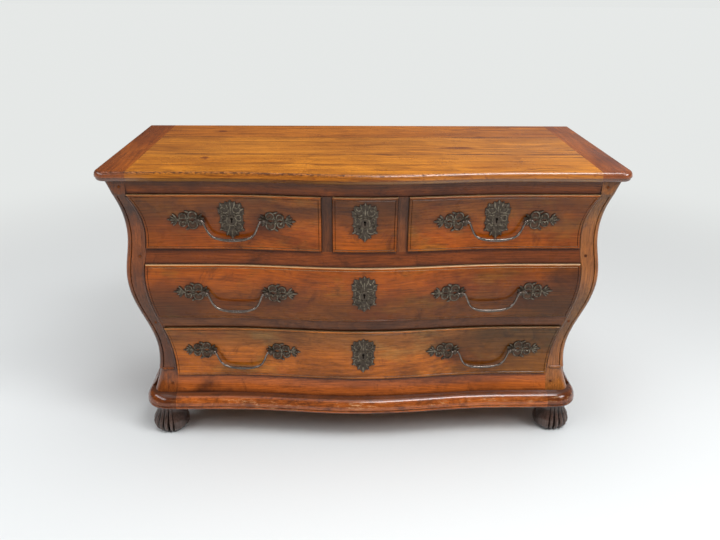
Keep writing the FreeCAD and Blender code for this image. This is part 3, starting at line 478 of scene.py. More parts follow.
def edge_wear(tree, colour):
    """The edge: redder where it bends over and darker there as painted shade; cracked along the arris, most
    on the left.
    """
    place = place_on(tree)
    across = split(tree, place)["X"]
    lean = lean_of(tree)
    bends = remap(tree, lean, 0.99, 0.80)
    # Painted shade mixed with the moulding's redder tone, where the edge bends over and away from the light.
    colour = blend_colours(tree, times(tree, bends, 0.4), colour, MOULDING_TONE)
    arris = times(tree, remap(tree, lean, 0.998, 0.985), remap(tree, lean, 0.25, 0.6))
    dents = noise(tree, place, (110.0, 260.0, 260.0), 4.0, 0.8)
    spared = remap(tree, across, -0.15, 0.25, 0.0, 0.10)
    bare_or_glint = times(tree, arris, remap(tree, minus(tree, dents, spared), 0.47, 0.53), 0.9)
    handled = times(tree, remap(tree, across, -0.60, -0.52), remap(tree, across, 0.20, -0.10))
    waxless = maths(tree, "MAXIMUM", bare_or_glint, times(tree, handled, bends, 0.85))
    return blend_colours(tree, bare_or_glint, colour, CRACK), waxless


def seam_wear(tree, colour, off, wander):
    """A dark line of changing width and the stain beside it, off metres from a seam."""
    stained = times(tree, ease(tree, off, 0.0, SEAM_STAIN, 1.0, 0.0), remap(tree, wander, 0.4, 0.65), 0.55)
    width = remap(tree, wander, 0.35, 0.7, 0.4 * SEAM_HALF, 4.0 * SEAM_HALF)
    open_seam = times(tree, maths(tree, "LESS_THAN", off, width), 0.85)
    return blend_colours(tree, open_seam, blend_colours(tree, stained, colour, MOULDING_TONE), CRACK)


def top_wear(tree, colour):
    """Boards of three tints with open seams, then knots, long cracks and flecks, then the edge."""
    place = place_on(tree)
    across, deep, _ = split(tree, place)
    wander = noise(tree, place, (6.0, 1.0, 1.0), 4.0, 0.7)
    colour = blend_colours(tree, 1.0, colour, BOARD_TINTS[0], "MULTIPLY")
    for seam, before, after in zip(SEAMS, BOARD_TINTS, BOARD_TINTS[1:]):
        beyond = maths(tree, "GREATER_THAN", deep, seam)
        change = tuple(b / a for a, b in zip(before, after))
        colour = blend_colours(tree, beyond, colour, change, "MULTIPLY")
        colour = seam_wear(tree, colour, maths(tree, "ABSOLUTE", minus(tree, deep, seam)), wander)
    ragged = vary(tree, noise(tree, place, (20.0, 70.0, 1.0), 4.0, 0.7), -0.9, 0.9)
    for x, y, half_x, half_y in KNOTS:
        far_x = maths(tree, "DIVIDE", minus(tree, across, x), half_x)
        far_y = maths(tree, "DIVIDE", minus(tree, deep, y), half_y)
        edge = plus(tree, times(tree, far_x, far_x), times(tree, far_y, far_y), ragged)
        colour = blend_colours(tree, times(tree, ease(tree, edge, 1.3, 0.2), 0.85), colour, KNOT_TONE)
    cracks = noise(tree, place, (7.0, 210.0, 40.0), 3.0, 0.6, 0.3)
    colour = blend_colours(tree, times(tree, remap(tree, cracks, 0.64, 0.69), 0.7), colour, MOULDING_TONE)
    flecks = noise(tree, place, (55.0, 330.0, 100.0), 2.0, 0.5)
    colour = blend_colours(tree, remap(tree, flecks, 0.66, 0.70, 0.0, 0.6), colour, MOULDING_TONE)
    return edge_wear(tree, colour)


def painted_glints(tree, colour):
    """Painted glints: bright specks standing in for highlights on a moulding's ridges, and a darker ledge on
    top.
    """
    place = place_on(tree)
    lean = lean_of(tree)
    dents = noise(tree, place, (45.0, 150.0, 150.0), 4.0, 0.8)
    patches = noise(tree, place, (9.0, 30.0, 30.0), 3.0, 0.6)
    sooty = remap(tree, plus(tree, dents, patches), 0.98, 0.80)
    colour = blend_colours(tree, times(tree, sooty, 0.7), colour, CRACK)
    colour = blend_colours(tree, times(tree, ease(tree, lean, 0.72, 0.95), 0.8), colour, LEDGE_TONE)
    # Painted highlights: specks of the pale tone on ridges that look partly up.
    bare_or_glint = times(tree, remap(tree, dents, 0.53, 0.64), remap(tree, patches, 0.42, 0.60))
    upper = times(tree, remap(tree, lean, 0.10, 0.28), remap(tree, lean, 0.80, 0.55))
    return blend_colours(tree, times(tree, bare_or_glint, upper, 0.8), colour, WEAR_AND_HIGHLIGHT), None


print(len(SEAMS), "seams and", len(KNOTS), "knots on the top")

# %% [markdown]
# ## Boards and their woods
#
# Every board gets its own material, because the place where it was cut from the log, the direction of
# its grain and its wear are its own. The rails run along X, the stiles along Z and the sides along Y.
# A random shift, the same on each run, picks the place in the log.

# %% Boards and their woods
shifts = random.Random(11)


def shift():
    return tuple(shifts.uniform(-2.0, 2.0) for _ in range(3))


def cover(name, material):
    materials = nodes[name].data.materials
    materials.clear()
    materials.append(material)


def dress(names, tones, turn, **how):
    for name in names:
        cover(name, waxed_wood(name + "_wood", tones, turn, shift(), **how))


FRONTS = ["top_left", "top_centre", "top_right", "middle", "bottom"]
dress(["top_boards"], HONEY, ALONG_X, ring=0.009, flame=0.32, streak=0.8, gloss=0.30, stain=0.24,
      boards=SEAMS, finish=top_wear, gleam=True)
dress(["top_end_clamps"], CLAMP, ALONG_Y, stain=0.5, finish=edge_wear, gleam=True)
dress(["top_rail"], lighter(RED_BROWN, 1.2), ALONG_X, close_grime=0.8)
dress(["lower_rail"], lighter(SOOTY, 1.5), ALONG_X, close_grime=0.8)
dress(["upper_rail"], RUSSET, ALONG_X, stain=0.7, close_grime=0.8)
dress(["bottom_rail"], BRIGHT_RUSSET, ALONG_X, streak=0.4, stain=0.9, coat=0.8, close_grime=0.95)
dress(["front_base_moulding"], BRIGHT_RUSSET, ALONG_X, streak=0.4, stain=0.8, coat=1.0, finish=painted_glints)
dress(["drawer_dividers"], SOOTY, ALONG_Z)
dress(["left_front_stile"], WARM_BROWN, ALONG_Z, gloss=0.24, stain=0.7, coat=0.9)
dress(["right_front_stile"], OCHRE, ALONG_Z, gloss=0.24, stain=0.7, coat=0.9)
dress(["left_side_panel", "right_side_panel", "side_cove_mouldings", "side_base_mouldings"], RED_BROWN,
      ALONG_Y)
dress(["base_corner_blocks"], RUSSET, ALONG_X, gloss=0.18, coat=1.0, finish=painted_glints)
dress([f"{name}_drawer_box" for name in FRONTS], PLAIN, ALONG_Y, gloss=0.6, **RAW)
dress(["back_boards", "back_rails", "bottom_board", "drawer_runners", "drawer_guides"], PLAIN, ALONG_X,
      gloss=0.65, **RAW)
dress(["rear_stiles"], PLAIN, ALONG_Z, gloss=0.6, **RAW)
dress(["rear_feet"], BLACKENED, ALONG_Z, gloss=0.4, coat=0.3, dull=0.0)
dress(["joint_pegs"], SOOTY, ALONG_Y, gloss=0.4, **RAW)
print(len(bpy.data.materials), "materials so far")

# %% [markdown]
# ## Bronze and iron
#
# The plates and bails are cast bronze gone dark brown, with the high places rubbed a little brighter.
# Hands have kept the bails smoother than the plates, and dirt fills the piercings. The locks are filed
# iron. One recipe makes them all: a deep tone in the hollows, a rubbed tone on what stands out.

# %% Metals
HOLLOW_REACH, CAST_DEPTH = 0.004, 0.0004


def old_metal(name, deep, lightened, rough, grit=0.35, metal=0.85, mottle=0.1):
    """grit is the strength of the casting's fine relief, mottle how far the roughness strays."""
    material, tree, shader = new_material(name)
    place = place_on(tree)
    patches = noise(tree, place, 120.0, 4.0, 0.65)
    high = remap(tree, openness(tree, HOLLOW_REACH), 0.55, 1.0)
    fill(tree, shader, {
        "Base Color": blend_colours(tree, times(tree, high, ease(tree, patches, 0.40, 0.62)), deep, lightened),
        "Roughness": vary(tree, patches, rough - mottle, rough + mottle), "Metallic": metal,
        "Normal": emboss(tree, noise(tree, place, 900.0, 3.0, 0.6), grit, CAST_DEPTH),
    })
    return material


BRONZE = old_metal("dark_bronze", (0.050, 0.036, 0.025), (0.095, 0.070, 0.048), 0.45, metal=0.5)
CHASED = old_metal("rubbed_bronze", (0.075, 0.058, 0.040), (0.27, 0.23, 0.165), 0.32, metal=0.7)
HANDLED = old_metal("bail_bronze", (0.13, 0.102, 0.084), (0.21, 0.175, 0.15), 0.22, grit=0.0, mottle=0.02)
DIRT = old_metal("dirt_in_the_piercings", (0.085, 0.040, 0.021), (0.10, 0.050, 0.026), 0.8, grit=0.1,
                 metal=0.0)
IRON = old_metal("filed_iron", (0.04, 0.035, 0.030), (0.09, 0.08, 0.07), 0.6)

for name in nodes:
    if name.endswith(("_escutcheon", "_handle_mounts")):
        cover(name, BRONZE)
    elif name.endswith(("_lock", "_lock_bolt")):
        cover(name, IRON)
print(len(bpy.data.materials), "materials with the metals")

# %% [markdown]
# ## The chest's own curves
#
# Pieces that replace a board of the frame have to follow the same swelling. The outline is read off the
# chest at five heights and joined by half waves: out at the capital, in at the waist, out at the belly,
# in at the ankle and out again at the plinth. The plan bows forward in the middle.

# %% Outline and bow
MM = 0.001
# height and half width at capital, waist, belly, ankle and plinth: the front, then the drawer opening
OUTLINE = ((775, 655), (626, 618), (505, 629), (250, 580), (138, 600))
OPENING = ((775, 628), (626, 567), (505, 578), (189, 530), (138, 530))
FRONT_SHIFT, BOW, BOW_REACH = 381.0, 28.0, 400.0
TOP_ROW_HEAD = 737.0
DRAWER_PROUD = 8.0
PLATE_FACE = DRAWER_PROUD + 2.3


def swell(keys, z):
    """Half width at height z: half waves between the heights, and parabolas above and below them."""
    capital, waist, belly, ankle, plinth = keys
    if z >= waist[0]:
        return waist[1] + (capital[1] - waist[1]) * ((z - waist[0]) / (capital[0] - waist[0])) ** 2
    if z <= ankle[0]:
        drop = max(ankle[0] - plinth[0], 1.0)
        return ankle[1] + (plinth[1] - ankle[1]) * ((ankle[0] - z) / drop) ** 2
    upper, lower = (waist, belly) if z >= belly[0] else (belly, ankle)
    half_wave = math.pi * (upper[0] - z) / (upper[0] - lower[0])
    return (upper[1] + lower[1]) / 2 + (upper[1] - lower[1]) / 2 * math.cos(half_wave)


def bow(x):
    """How far the plan bows forward at x."""
    if abs(x) >= BOW_REACH:
        return 0.0
    return BOW * math.cos(math.pi * x / (2 * BOW_REACH)) ** 2


def front_y(x, z, proud=0.0):
    """y of the front face in millimetres."""
    return FRONT_SHIFT - swell(OUTLINE, min(z, TOP_ROW_HEAD)) - bow(x) - proud


def opening(z):
    """Half width of the drawer opening."""
    return swell(OPENING, min(z, TOP_ROW_HEAD))


print("belly stands", round(front_y(0, 250) - front_y(0, 505), 1), "mm in front of the ankle")

# %% [markdown]
# ## Making a piece
#
# Every new mesh is made in millimetres from a list of points and faces, welded, shaded and handed to the
# body that it moves with. Two shapes come up again and again: a closed skin between rows of points, and
# a tube along a path whose thickness changes.

# %% Mesh helpers


def put_in_scene(name, data):
    made = bpy.data.objects.new(name, data)
    bpy.context.scene.collection.objects.link(made)
    return made


def mesh_of(name, shape, materials=()):
    """A welded mesh with its faces outward, from points in millimetres, faces and, where there are
    two materials, a material number for each face."""
    points, faces, *numbers = shape
    mesh = bpy.data.meshes.new(name)
    mesh.from_pydata([tuple(v * MM for v in p) for p in points], [], faces)
    for material in materials:
        mesh.materials.append(material)
    if numbers:
        mesh.polygons.foreach_set("material_index", numbers[0])
    work = bmesh.new()
    work.from_mesh(mesh)
    bmesh.ops.remove_doubles(work, verts=work.verts, dist=WELD)
    bmesh.ops.recalc_face_normals(work, faces=work.faces)
    work.to_mesh(mesh)
    work.free()
    return mesh


def make_piece(name, shape, materials, body):
    piece = put_in_scene(name, mesh_of(name, shape, materials))
    smooth(piece)
    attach(piece, body)
    return piece


def skin(rows, cap=True):
    """Faces round and between rows of points, each row closed to a ring, as (points, faces)."""
    count = len(rows[0])
    faces = []
    for r in range(len(rows) - 1):
        for i in range(count):
            j = (i + 1) % count
            faces.append((r * count + i, r * count + j, (r + 1) * count + j, (r + 1) * count + i))
    if cap:
        faces.append(tuple(reversed(range(count))))
        faces.append(tuple((len(rows) - 1) * count + i for i in range(count)))
    return [p for row in rows for p in row], faces


def tube(path, thick, facing, sides=8, height=1.0):
    """A tube along path. thick is the radius at each point, facing the direction it faces, and height
    its radius along facing as a share of thick."""
    rows = []
    facing = Vector(facing).normalized()
    for i, point in enumerate(path):
        ahead = Vector(path[min(i + 1, len(path) - 1)]) - Vector(path[max(i - 1, 0)])
        side = ahead.cross(facing).normalized()
        up = side.cross(ahead).normalized()
        ring = []
        for k in range(sides):
            a = 2 * math.pi * k / sides
            out = side * (thick[i] * math.cos(a))
            ring.append(tuple(Vector(point) + out + up * (thick[i] * height * math.sin(a))))
        rows.append(ring)
    return skin(rows)


def gather(parts):
    """Joins several (points, faces) into one."""
    points, faces = [], []
    for some_points, some_faces in parts:
        base = len(points)
        points += some_points
        faces += [tuple(base + i for i in f) for f in some_faces]
    return points, faces


# %% [markdown]
# ## Drawer fronts
#
# Each front is sawn and scraped from a thick plank to the same double curve as the rails. Its arrises
# are softened and a scratch tool has drawn a fine line just inside the edge. The front is a grid over
# the opening, with extra rows of points near the edges for the rounding and the line, and a flat back.
# The keyhole, the pocket for the lock and the grooves are cut from it afterwards.

# %% Drawer front shape
ROWS = {"top": (586.0, 737.0), "middle": (379.0, 544.0), "bottom": (189.0, 342.0)}
CLEARANCE = 1.2
DIVIDER_INNER, DIVIDER_OUTER = 84.0, 110.0
THINNEST = 24.0
HANDLE_X, HANDLE_HALF = 341.0, 83.0
PIN_Z = {"top": 668.0, "middle": 469.0, "bottom": 270.0}
KEY_Z = {"top": 667.0, "middle": 467.0, "bottom": 262.0}


def wide_left(z):
    return -opening(z) + CLEARANCE


def wide_right(z):
    return opening(z) - CLEARANCE


def straight(x):
    """An edge that stands straight at x."""
    return lambda z: x


BESIDE, WITHIN = DIVIDER_OUTER + CLEARANCE, DIVIDER_INNER - CLEARANCE
DRAWERS = {  # row, left edge and right edge at a height, keyhole, middles of the handles
    "top_left": ("top", wide_left, straight(-BESIDE), -HANDLE_X, [-HANDLE_X]),
    "top_centre": ("top", straight(-WITHIN), straight(WITHIN), 0.0, []),
    "top_right": ("top", straight(BESIDE), wide_right, HANDLE_X, [HANDLE_X]),
    "middle": ("middle", wide_left, wide_right, 0.0, [-HANDLE_X, HANDLE_X]),
    "bottom": ("bottom", wide_left, wide_right, 0.0, [-HANDLE_X, HANDLE_X]),
}
ARRIS = 3.4
LINE_AT, LINE_HALF, LINE_DEEP = 6.8, 0.9, 1.0
EDGE_ROWS = (0.0, 0.3, 0.9, 1.8, 2.7, ARRIS, 5.0, LINE_AT - LINE_HALF, LINE_AT, LINE_AT + LINE_HALF, 9.6)
GRID_UP, GRID_ALONG, SECTION_PITCH = 8.0, 14.0, 24.0


def inner_face(level):
    """y of the flat back, behind the hollowest height of the row."""
    low, high = ROWS[level]
    count = max(3, round((high - low) / SECTION_PITCH))
    thinnest = min(swell(OUTLINE, low + (high - low) * i / count) for i in range(count + 1))
    return FRONT_SHIFT - thinnest - DRAWER_PROUD + THINNEST


def edge_relief(d):
    """How far the face lies back at distance d from the edge."""
    if d < ARRIS:
        return ARRIS - math.sqrt(ARRIS ** 2 - (ARRIS - d) ** 2)
    if abs(d - LINE_AT) < LINE_HALF:
        return LINE_DEEP * (1 - abs(d - LINE_AT) / LINE_HALF)
    return 0.0


def spread(low, high, pitch):
    """Edge rows, then even steps of about pitch, then edge rows again."""
    first, last = low + EDGE_ROWS[-1], high - EDGE_ROWS[-1]
    count = max(2, round((last - first) / pitch))
    inside = [first + (last - first) * i / count for i in range(1, count)]
    return [low + d for d in EDGE_ROWS] + inside + [high - d for d in reversed(EDGE_ROWS)]


def drawer_front_shape(level, left, right):
    """Points, faces and material numbers: 0 on the face, 1 on the edges and the back."""
    low, high = ROWS[level]
    back = inner_face(level)
    zs = spread(low, high, GRID_UP)
    reference = (low + high) / 2
    across = spread(left(reference), right(reference), GRID_ALONG)
    width = right(reference) - left(reference)
    points = []
    for z in zs:
        for x0 in across:
            from_left, from_right = x0 - across[0], across[-1] - x0
            if from_left <= EDGE_ROWS[-1]:
                x = x0 + (left(z) - left(reference))
            elif from_right <= EDGE_ROWS[-1]:
                x = right(z) - from_right
            else:
                x = left(z) + from_left * ((right(z) - left(z)) / width)
            d = min(from_left, from_right, z - low, high - z)
            points.append((x, front_y(x, z, DRAWER_PROUD) + edge_relief(d), z))
    offset = len(points)
    points += [(x, back - bow(x), z) for x, _, z in points]
    nx, nz = len(across), len(zs)
    faces = []
    for r in range(nz - 1):
        for a in range(r * nx, r * nx + nx - 1):
            b = a + offset
            faces += [(a, a + 1, a + nx + 1, a + nx), (b, b + nx, b + nx + 1, b + 1)]
    rim = list(range(nx)) + [r * nx + nx - 1 for r in range(1, nz)]
    rim += [(nz - 1) * nx + i for i in range(nx - 2, -1, -1)] + [r * nx for r in range(nz - 2, 0, -1)]
    numbers = [0, 1] * (len(faces) // 2) + [1] * len(rim)
    faces += [(b, a, a + offset, b + offset) for a, b in zip(rim, rim[1:] + rim[:1])]
    return points, faces, numbers


print("the back of the middle drawer's front is at y", round(inner_face("middle"), 1), "mm")

# %% [markdown]
# ## Keyhole, lock pocket and grooves
#
# The lock is let into the back of the front, its key comes in through the face, and the sides of the
# drawer box slide into two dovetailed grooves. A joiner saws and chisels these after shaping the board,
# so they are cut here too: closed shapes, taken out of the finished front with a boolean.

# %% Cutters
LOCK_HALF, LOCK_FOOT, LOCK_DEEP = 32.0, 26.0, 4.0
TONGUE_DEEP, TONGUE_NECK, TONGUE_WIDE = 9.0, 2.5, 4.0
CUT_ROOM = 0.1
PAST = 1.0  # how far a cutter reaches past the wood
POCKET_PAST_BACK, POCKET_PAST_HEAD = 30.0, 5.0
BEFORE_THE_CHEST = -340.0


def block(x0, x1, y0, y1, z0, z1):
    """A box between two corners."""
    points = [(x, y, z) for z in (z0, z1) for x, y in ((x0, y0), (x1, y0), (x1, y1), (x0, y1))]
    faces = [(3, 2, 1, 0), (4, 5, 6, 7), (0, 1, 5, 4), (1, 2, 6, 5), (2, 3, 7, 6), (3, 0, 4, 7)]
    return points, faces


def keyhole_outline():
    """Points (across, up) round a keyhole: a round head on a narrow slot."""
    head, half, foot, sides = 3.4, 1.6, -8.0, 20
    start = math.asin(half / head)
    arc = [(head * math.sin(a), head - head * math.cos(a))
           for a in (start + (2 * math.pi - 2 * start) * k / sides for k in range(sides + 1))]
    return arc + [(-half, foot), (half, foot)]


def keyhole_cutter(x, z, y0, y1):
    outline = keyhole_outline()
    return skin([[(x + a, y, z + b) for a, b in outline] for y in (y0, y1)])


def lock_pocket(x, back, z, head):
    """Room for the lock, open to the back and to the upper edge."""
    half, foot, deep = LOCK_HALF + CUT_ROOM, LOCK_FOOT + CUT_ROOM, LOCK_DEEP + CUT_ROOM
    return block(x - half, x + half, back - deep, back + POCKET_PAST_BACK, z - foot, head + POCKET_PAST_HEAD)


def tongue_cutter(x, back, low, high):
    """Sliding dovetail groove for the side of the box, wider inside than at the mouth."""
    y = back - bow(x)
    plan = [(x - TONGUE_NECK, y + PAST), (x - TONGUE_WIDE, y - TONGUE_DEEP),
            (x + TONGUE_WIDE, y - TONGUE_DEEP), (x + TONGUE_NECK, y + PAST)]
    return skin([[(a, b, z) for a, b in plan] for z in (low, high)])


def cut_from(piece, shape):
    """Cuts a closed shape out of a piece for good, and smooths the piece again."""
    cutter = put_in_scene("cutter", mesh_of("cutter", shape))
    piece.modifiers.remove(piece.modifiers[0])
    modifier = piece.modifiers.new("cut", "BOOLEAN")
    modifier.operation = "DIFFERENCE"
    modifier.solver = "EXACT"
    modifier.object = cutter
    evaluated = piece.evaluated_get(bpy.context.evaluated_depsgraph_get())
    shaped = bpy.data.meshes.new_from_object(evaluated)
    piece.modifiers.remove(modifier)
    spent = [piece.data, cutter.data]
    piece.data = shaped
    bpy.data.objects.remove(cutter)
    for mesh in spent:
        bpy.data.meshes.remove(mesh)
    smooth(piece)


print("the keyhole has", len(keyhole_outline()), "points round it")

# %% [markdown]
# ## The five drawer fronts
#
# The fronts are the showiest boards. Four share an orange tone, more or less deep, and the lowest has
# browned. Old polish yellows in some places and reddens in others, the face is painted warmer where light
# falls on the bow and greyer where it doesn't, as painted light and shade, and soot has gathered towards
# one end of each front.

# %% The five drawer fronts
BOX_THICK, BOX_DROP, BOX_SIDE_CLEAR, BOX_SECTIONS = 12.0, 8.0, 3.0, 12
# Tints of painted shade and painted light on the bowed drawer fronts.
SHADED_TINT, LIT_TINT = (1.02, 0.99, 1.2), (1.05, 0.93, 0.62)
YELLOWED, REDDENED, PATCH_SHARE = (0.95, 1.65, 2.6), (0.85, 0.60, 0.6), 0.55
# Heights on each row where the painted shade turns into painted light.
LIT_HEIGHTS = {"top": (0.70, 0.61), "middle": (0.41, 0.52), "bottom": (0.33, 0.20)}  # heights, grey to warm
# The last number of each front is the share of wear and painted highlight on its upper arris.
FRONT_LOOKS = {  # tones, where the soot starts and is full, its share, and wear of the upper arris
    "top_left": (lighter(ORANGE, 0.92), (-0.43, -0.56, 0.4), 0.45),
    "top_centre": (lighter(ORANGE, 0.78), (-0.12, 0.10, 0.45), 0.45),
    "top_right": (lighter(ORANGE, 0.75), (0.20, 0.10, 0.45), 0.45),
    "middle": (lighter(ORANGE, 0.74), (0.30, 0.52, 0.62), 0.9),
    "bottom": (lighter(BROWNED, 1.08), (0.16, 0.40, 0.85), 0.45),
}


def box_sides(level, left, right):
    """Middles of the two sides of the drawer box behind a front."""
    low, high = ROWS[level]
    heights = [low + (high - low) * i / BOX_SECTIONS for i in range(BOX_SECTIONS + 1)]
    ends = max(left(z) for z in heights), min(right(z) for z in heights)
    inset = BOX_SIDE_CLEAR - CLEARANCE + BOX_THICK / 2
    return ends[0] + inset, ends[1] - inset


def patches_and_painted_light(tree, colour, shaded_z, lit_z):
    """Some places have yellowed and some gone red; from shaded_z to lit_z the face is painted warmer, as
    painted light.
    """
    clouds = add(tree, "ShaderNodeTexNoise", Vector=stretch(tree, place_on(tree), (1.0, 1.0, 2.2)),
                 Scale=5.5, Detail=5.0, Roughness=0.66).outputs
    height = plus(tree, split(tree, place_on(tree))["Z"], vary(tree, clouds["Fac"], -0.03, 0.03))
    # Painted light and shade: greyer where the bowed face turns from the light, warmer where light falls on
    # it.
    light_and_shade = blend_colours(tree, ease(tree, height, shaded_z, lit_z), SHADED_TINT, LIT_TINT)
    colour = blend_colours(tree, 1.0, colour, light_and_shade, "MULTIPLY")
    channels = add(tree, "ShaderNodeSeparateColor", Color=clouds["Color"]).outputs
    for channel, tint in zip(channels, (YELLOWED, REDDENED)):
        patch = times(tree, ease(tree, channel, 0.52, 0.68), PATCH_SHARE)
        colour = blend_colours(tree, patch, colour, tint, "MULTIPLY")
    return colour, None


def front_woods(name, level):
    """The wood of the face, and the raw wood of the edges and the back."""
    tones, soot, wear_and_highlight = FRONT_LOOKS[name]
    face = waxed_wood(f"{name}_front_wood", tones, ALONG_X, shift(), ring=0.008, gloss=0.26, stain=0.75,
                      reach=0.022, wear_and_highlight=wear_and_highlight, soot=soot, close_grime=0.6,
                      finish=lambda tree, colour: patches_and_painted_light(tree, colour, *LIT_HEIGHTS[level]))
    inside = waxed_wood(f"{name}_front_inside", PLAIN, ALONG_X, shift(), gloss=0.6, stain=0.3, **RAW)
    return [face, inside]


for name, (level, left, right, key_x, _) in DRAWERS.items():
    foot, head = ROWS[level]
    back_y, key_z = inner_face(level) - bow(key_x), KEY_Z[level]
    front = make_piece(f"{name}_front_shaped", drawer_front_shape(level, left, right),
                       front_woods(name, level), f"{name}_drawer")
    cut_from(front, lock_pocket(key_x, back_y, key_z, head))
    cut_from(front, keyhole_cutter(key_x, key_z, BEFORE_THE_CHEST, back_y + PAST))
    cut_from(front, gather([tongue_cutter(x, inner_face(level), foot - PAST, head - BOX_DROP)
                            for x in box_sides(level, left, right)]))
    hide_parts(f"{name}_drawer_front")
    print(name, "front", len(front.data.polygons), "faces")

# %% [markdown]
# ## Scrolled plates
#
# The plates are pierced castings of the rocaille kind: pairs of C scrolls that face each other, a
# crossing, and sprays of small leaves at the ends. The frame has their outlines as thin sheets. On each
# band of a sheet lies a round ridge that swells in the middle and ends in a bead, and on each leaf a
# low dome. They are chased by hand on the real castings, so no two ridges are quite the same height.

# %% Scrolls, leaves and beads
# places are in millimetres from the pin or the keyhole, angles in degrees
SWEEP, CURL, CURL_SWEEP = 230.0, 0.44, 150.0
# middle, radius and where the C opens
HANDLE_CURLS = ((16, 12, 10.5, -90), (17, -13, 11.5, 90), (41, 9, 8.5, -90), (43, -10, 8, 90))
HANDLE_LEAVES = (  # foot, tip and half width
    ((48, 6), (62, -7), 2.4), ((48, -6), (62, 7), 2.4), ((57, 4), (67, 17), 2.8),
    ((58, 2), (73, 9), 2.4), ((57, -4), (68, -17), 2.8), ((58, -2), (73, -10), 2.4),
    ((56, 0), (82, 0), 3.4), ((3, 5), (-8, 15), 2.8), ((4, 2), (-14, 5), 2.6), ((4, -2), (-13, -8), 2.6),
    ((4, -5), (-5, -16), 2.8), ((24, 20), (36, 25), 2.8), ((25, -21), (36, -28), 2.8),
)
# middle and radius
HANDLE_BEADS = ((29, 5, 3.0), (30, -6, 3.0), (52, 0, 2.6), (29.5, -0.5, 2.2))
ESCUTCHEON_CURLS = ((16, -18, 10, 120), (19, 7, 8, 0), (15, 31, 10, 80))
ESCUTCHEON_LEAVES = (
    ((8, 34), (12, 54), 3.4), ((20, 36), (26, 49), 3.0), ((22, 28), (34, 34), 2.8),
    ((17, 20), (33, 18), 3.0), ((22, -8), (33, -6), 2.6), ((22, -22), (32, -28), 3.0),
    ((8, -26), (15, -43), 3.2),
)
ESCUTCHEON_SPINE = (((0, 16), (0, 44), 3.2), ((0, 42), (0, 58), 3.4), ((0, -28), (0, -51), 4.4))
ESCUTCHEON_BEADS = ((11, -13, 3.0), (10, 15, 2.8), (9, 23, 2.6))
SHIELD, SHIELD_RIM = (12.5, 14.0, -1.0), 1.3  # half width, half height and middle, and the rim
RIDGE, RIDGE_ENDS, BEAD = 1.35, 0.95, 2.2
THINNEST_LEAF, THINNEST_BEAD = 0.2, 0.15
CURL_STEPS, SWEEP_STEPS, LEAF_STEPS, BEAD_STEPS, RIM_STEPS = 8, 20, 8, 6, 32
SCROLL_LIFTS, LEAF_LIFTS, SPINE_LIFT = (0.92, 1.12), (0.85, 1.2), 1.1
LEAF_WIDE, LEAF_HIGH = 0.6, 0.7


def on_ring(across, up, radius, angle):
    turn = math.radians(angle)
    return across + radius * math.cos(turn), up + radius * math.sin(turn)


def curl_path(across, up, radius, opening):
    """Points along a C scroll, from the heart of one curl round to the other."""
    start = opening + 180 - SWEEP / 2
    small = radius * CURL
    first = on_ring(across, up, radius - small, start)
    last = on_ring(across, up, radius - small, start + SWEEP)
    head = [start - CURL_SWEEP + CURL_SWEEP * i / CURL_STEPS for i in range(CURL_STEPS)]
    path = [on_ring(*first, small, angle) for angle in head]
    path += [on_ring(across, up, radius, start + SWEEP * i / SWEEP_STEPS) for i in range(SWEEP_STEPS)]
    tail = [start + SWEEP + CURL_SWEEP * i / CURL_STEPS for i in range(CURL_STEPS + 1)]
    return path + [on_ring(*last, small, angle) for angle in tail]


def ridge(path, lift):
    """Thickness along a scroll: full in the middle, thin at the curls, a bead at each end."""
    count = len(path)
    thick = []
    for i in range(count):
        t = abs(2 * i / (count - 1) - 1)
        body = RIDGE_ENDS + (RIDGE - RIDGE_ENDS) * math.cos(math.pi / 2 * t)
        thick.append(lift * (BEAD if i in (0, count - 1) else body))
    return path, thick, 1.0


def leaf(foot, tip, half, lift):
    """A low dome over a pointed leaf."""
    path, thick = [], []
    for i in range(LEAF_STEPS + 1):
        t = i / LEAF_STEPS
        path.append((foot[0] + (tip[0] - foot[0]) * t, foot[1] + (tip[1] - foot[1]) * t))
        dome = LEAF_WIDE * half * math.sin(math.pi * t) if 0 < t < 1 else 0.0
        thick.append(max(THINNEST_LEAF, dome))
    return path, thick, LEAF_HIGH * lift


def bead(across, up, radius, height=0.9):
    """A round boss, as a very short tube."""
    turns = [math.pi * k / BEAD_STEPS for k in range(BEAD_STEPS + 1)]
    path = [(across - radius * math.cos(a), up) for a in turns]
    return path, [max(THINNEST_BEAD, radius * math.sin(a)) for a in turns], height


def handed(strokes, hand):
    """Strokes as they are (1) or mirrored (-1)."""
    return [([(hand * a, b) for a, b in path], thick, height) for path, thick, height in strokes]


def strokes_of(curls, leaves, beads, chaser):
    strokes = [ridge(curl_path(*row), chaser.uniform(*SCROLL_LIFTS)) for row in curls]
    strokes += [leaf(*row, chaser.uniform(*LEAF_LIFTS)) for row in leaves]
    return strokes + [bead(*row) for row in beads]


def escutcheon_strokes(chaser):
    half = strokes_of(ESCUTCHEON_CURLS, ESCUTCHEON_LEAVES, ESCUTCHEON_BEADS, chaser)
    wide, tall, middle = SHIELD
    turns = [2 * math.pi * k / RIM_STEPS for k in range(RIM_STEPS + 1)]
    rim = [(wide * math.cos(a), middle + tall * math.sin(a)) for a in turns]
    spine = [leaf(*row, SPINE_LIFT) for row in ESCUTCHEON_SPINE]
    return handed(half, 1) + handed(half, -1) + spine + [(rim, [SHIELD_RIM] * len(rim), 1.0)]


print(len(HANDLE_CURLS), "scrolls and", len(HANDLE_LEAVES), "leaves on a handle plate")

# %% [markdown]
# ## Grounds of the plates
#
# Behind the relief lies the ground of the plate. The escutcheon's is a thin pointed sheet with the
# keyhole in it, given by how far it reaches at each angle. The handle plates are pierced, so their
# ground is the old dirt and polish that fills the piercings: flat discs behind the scrolls.

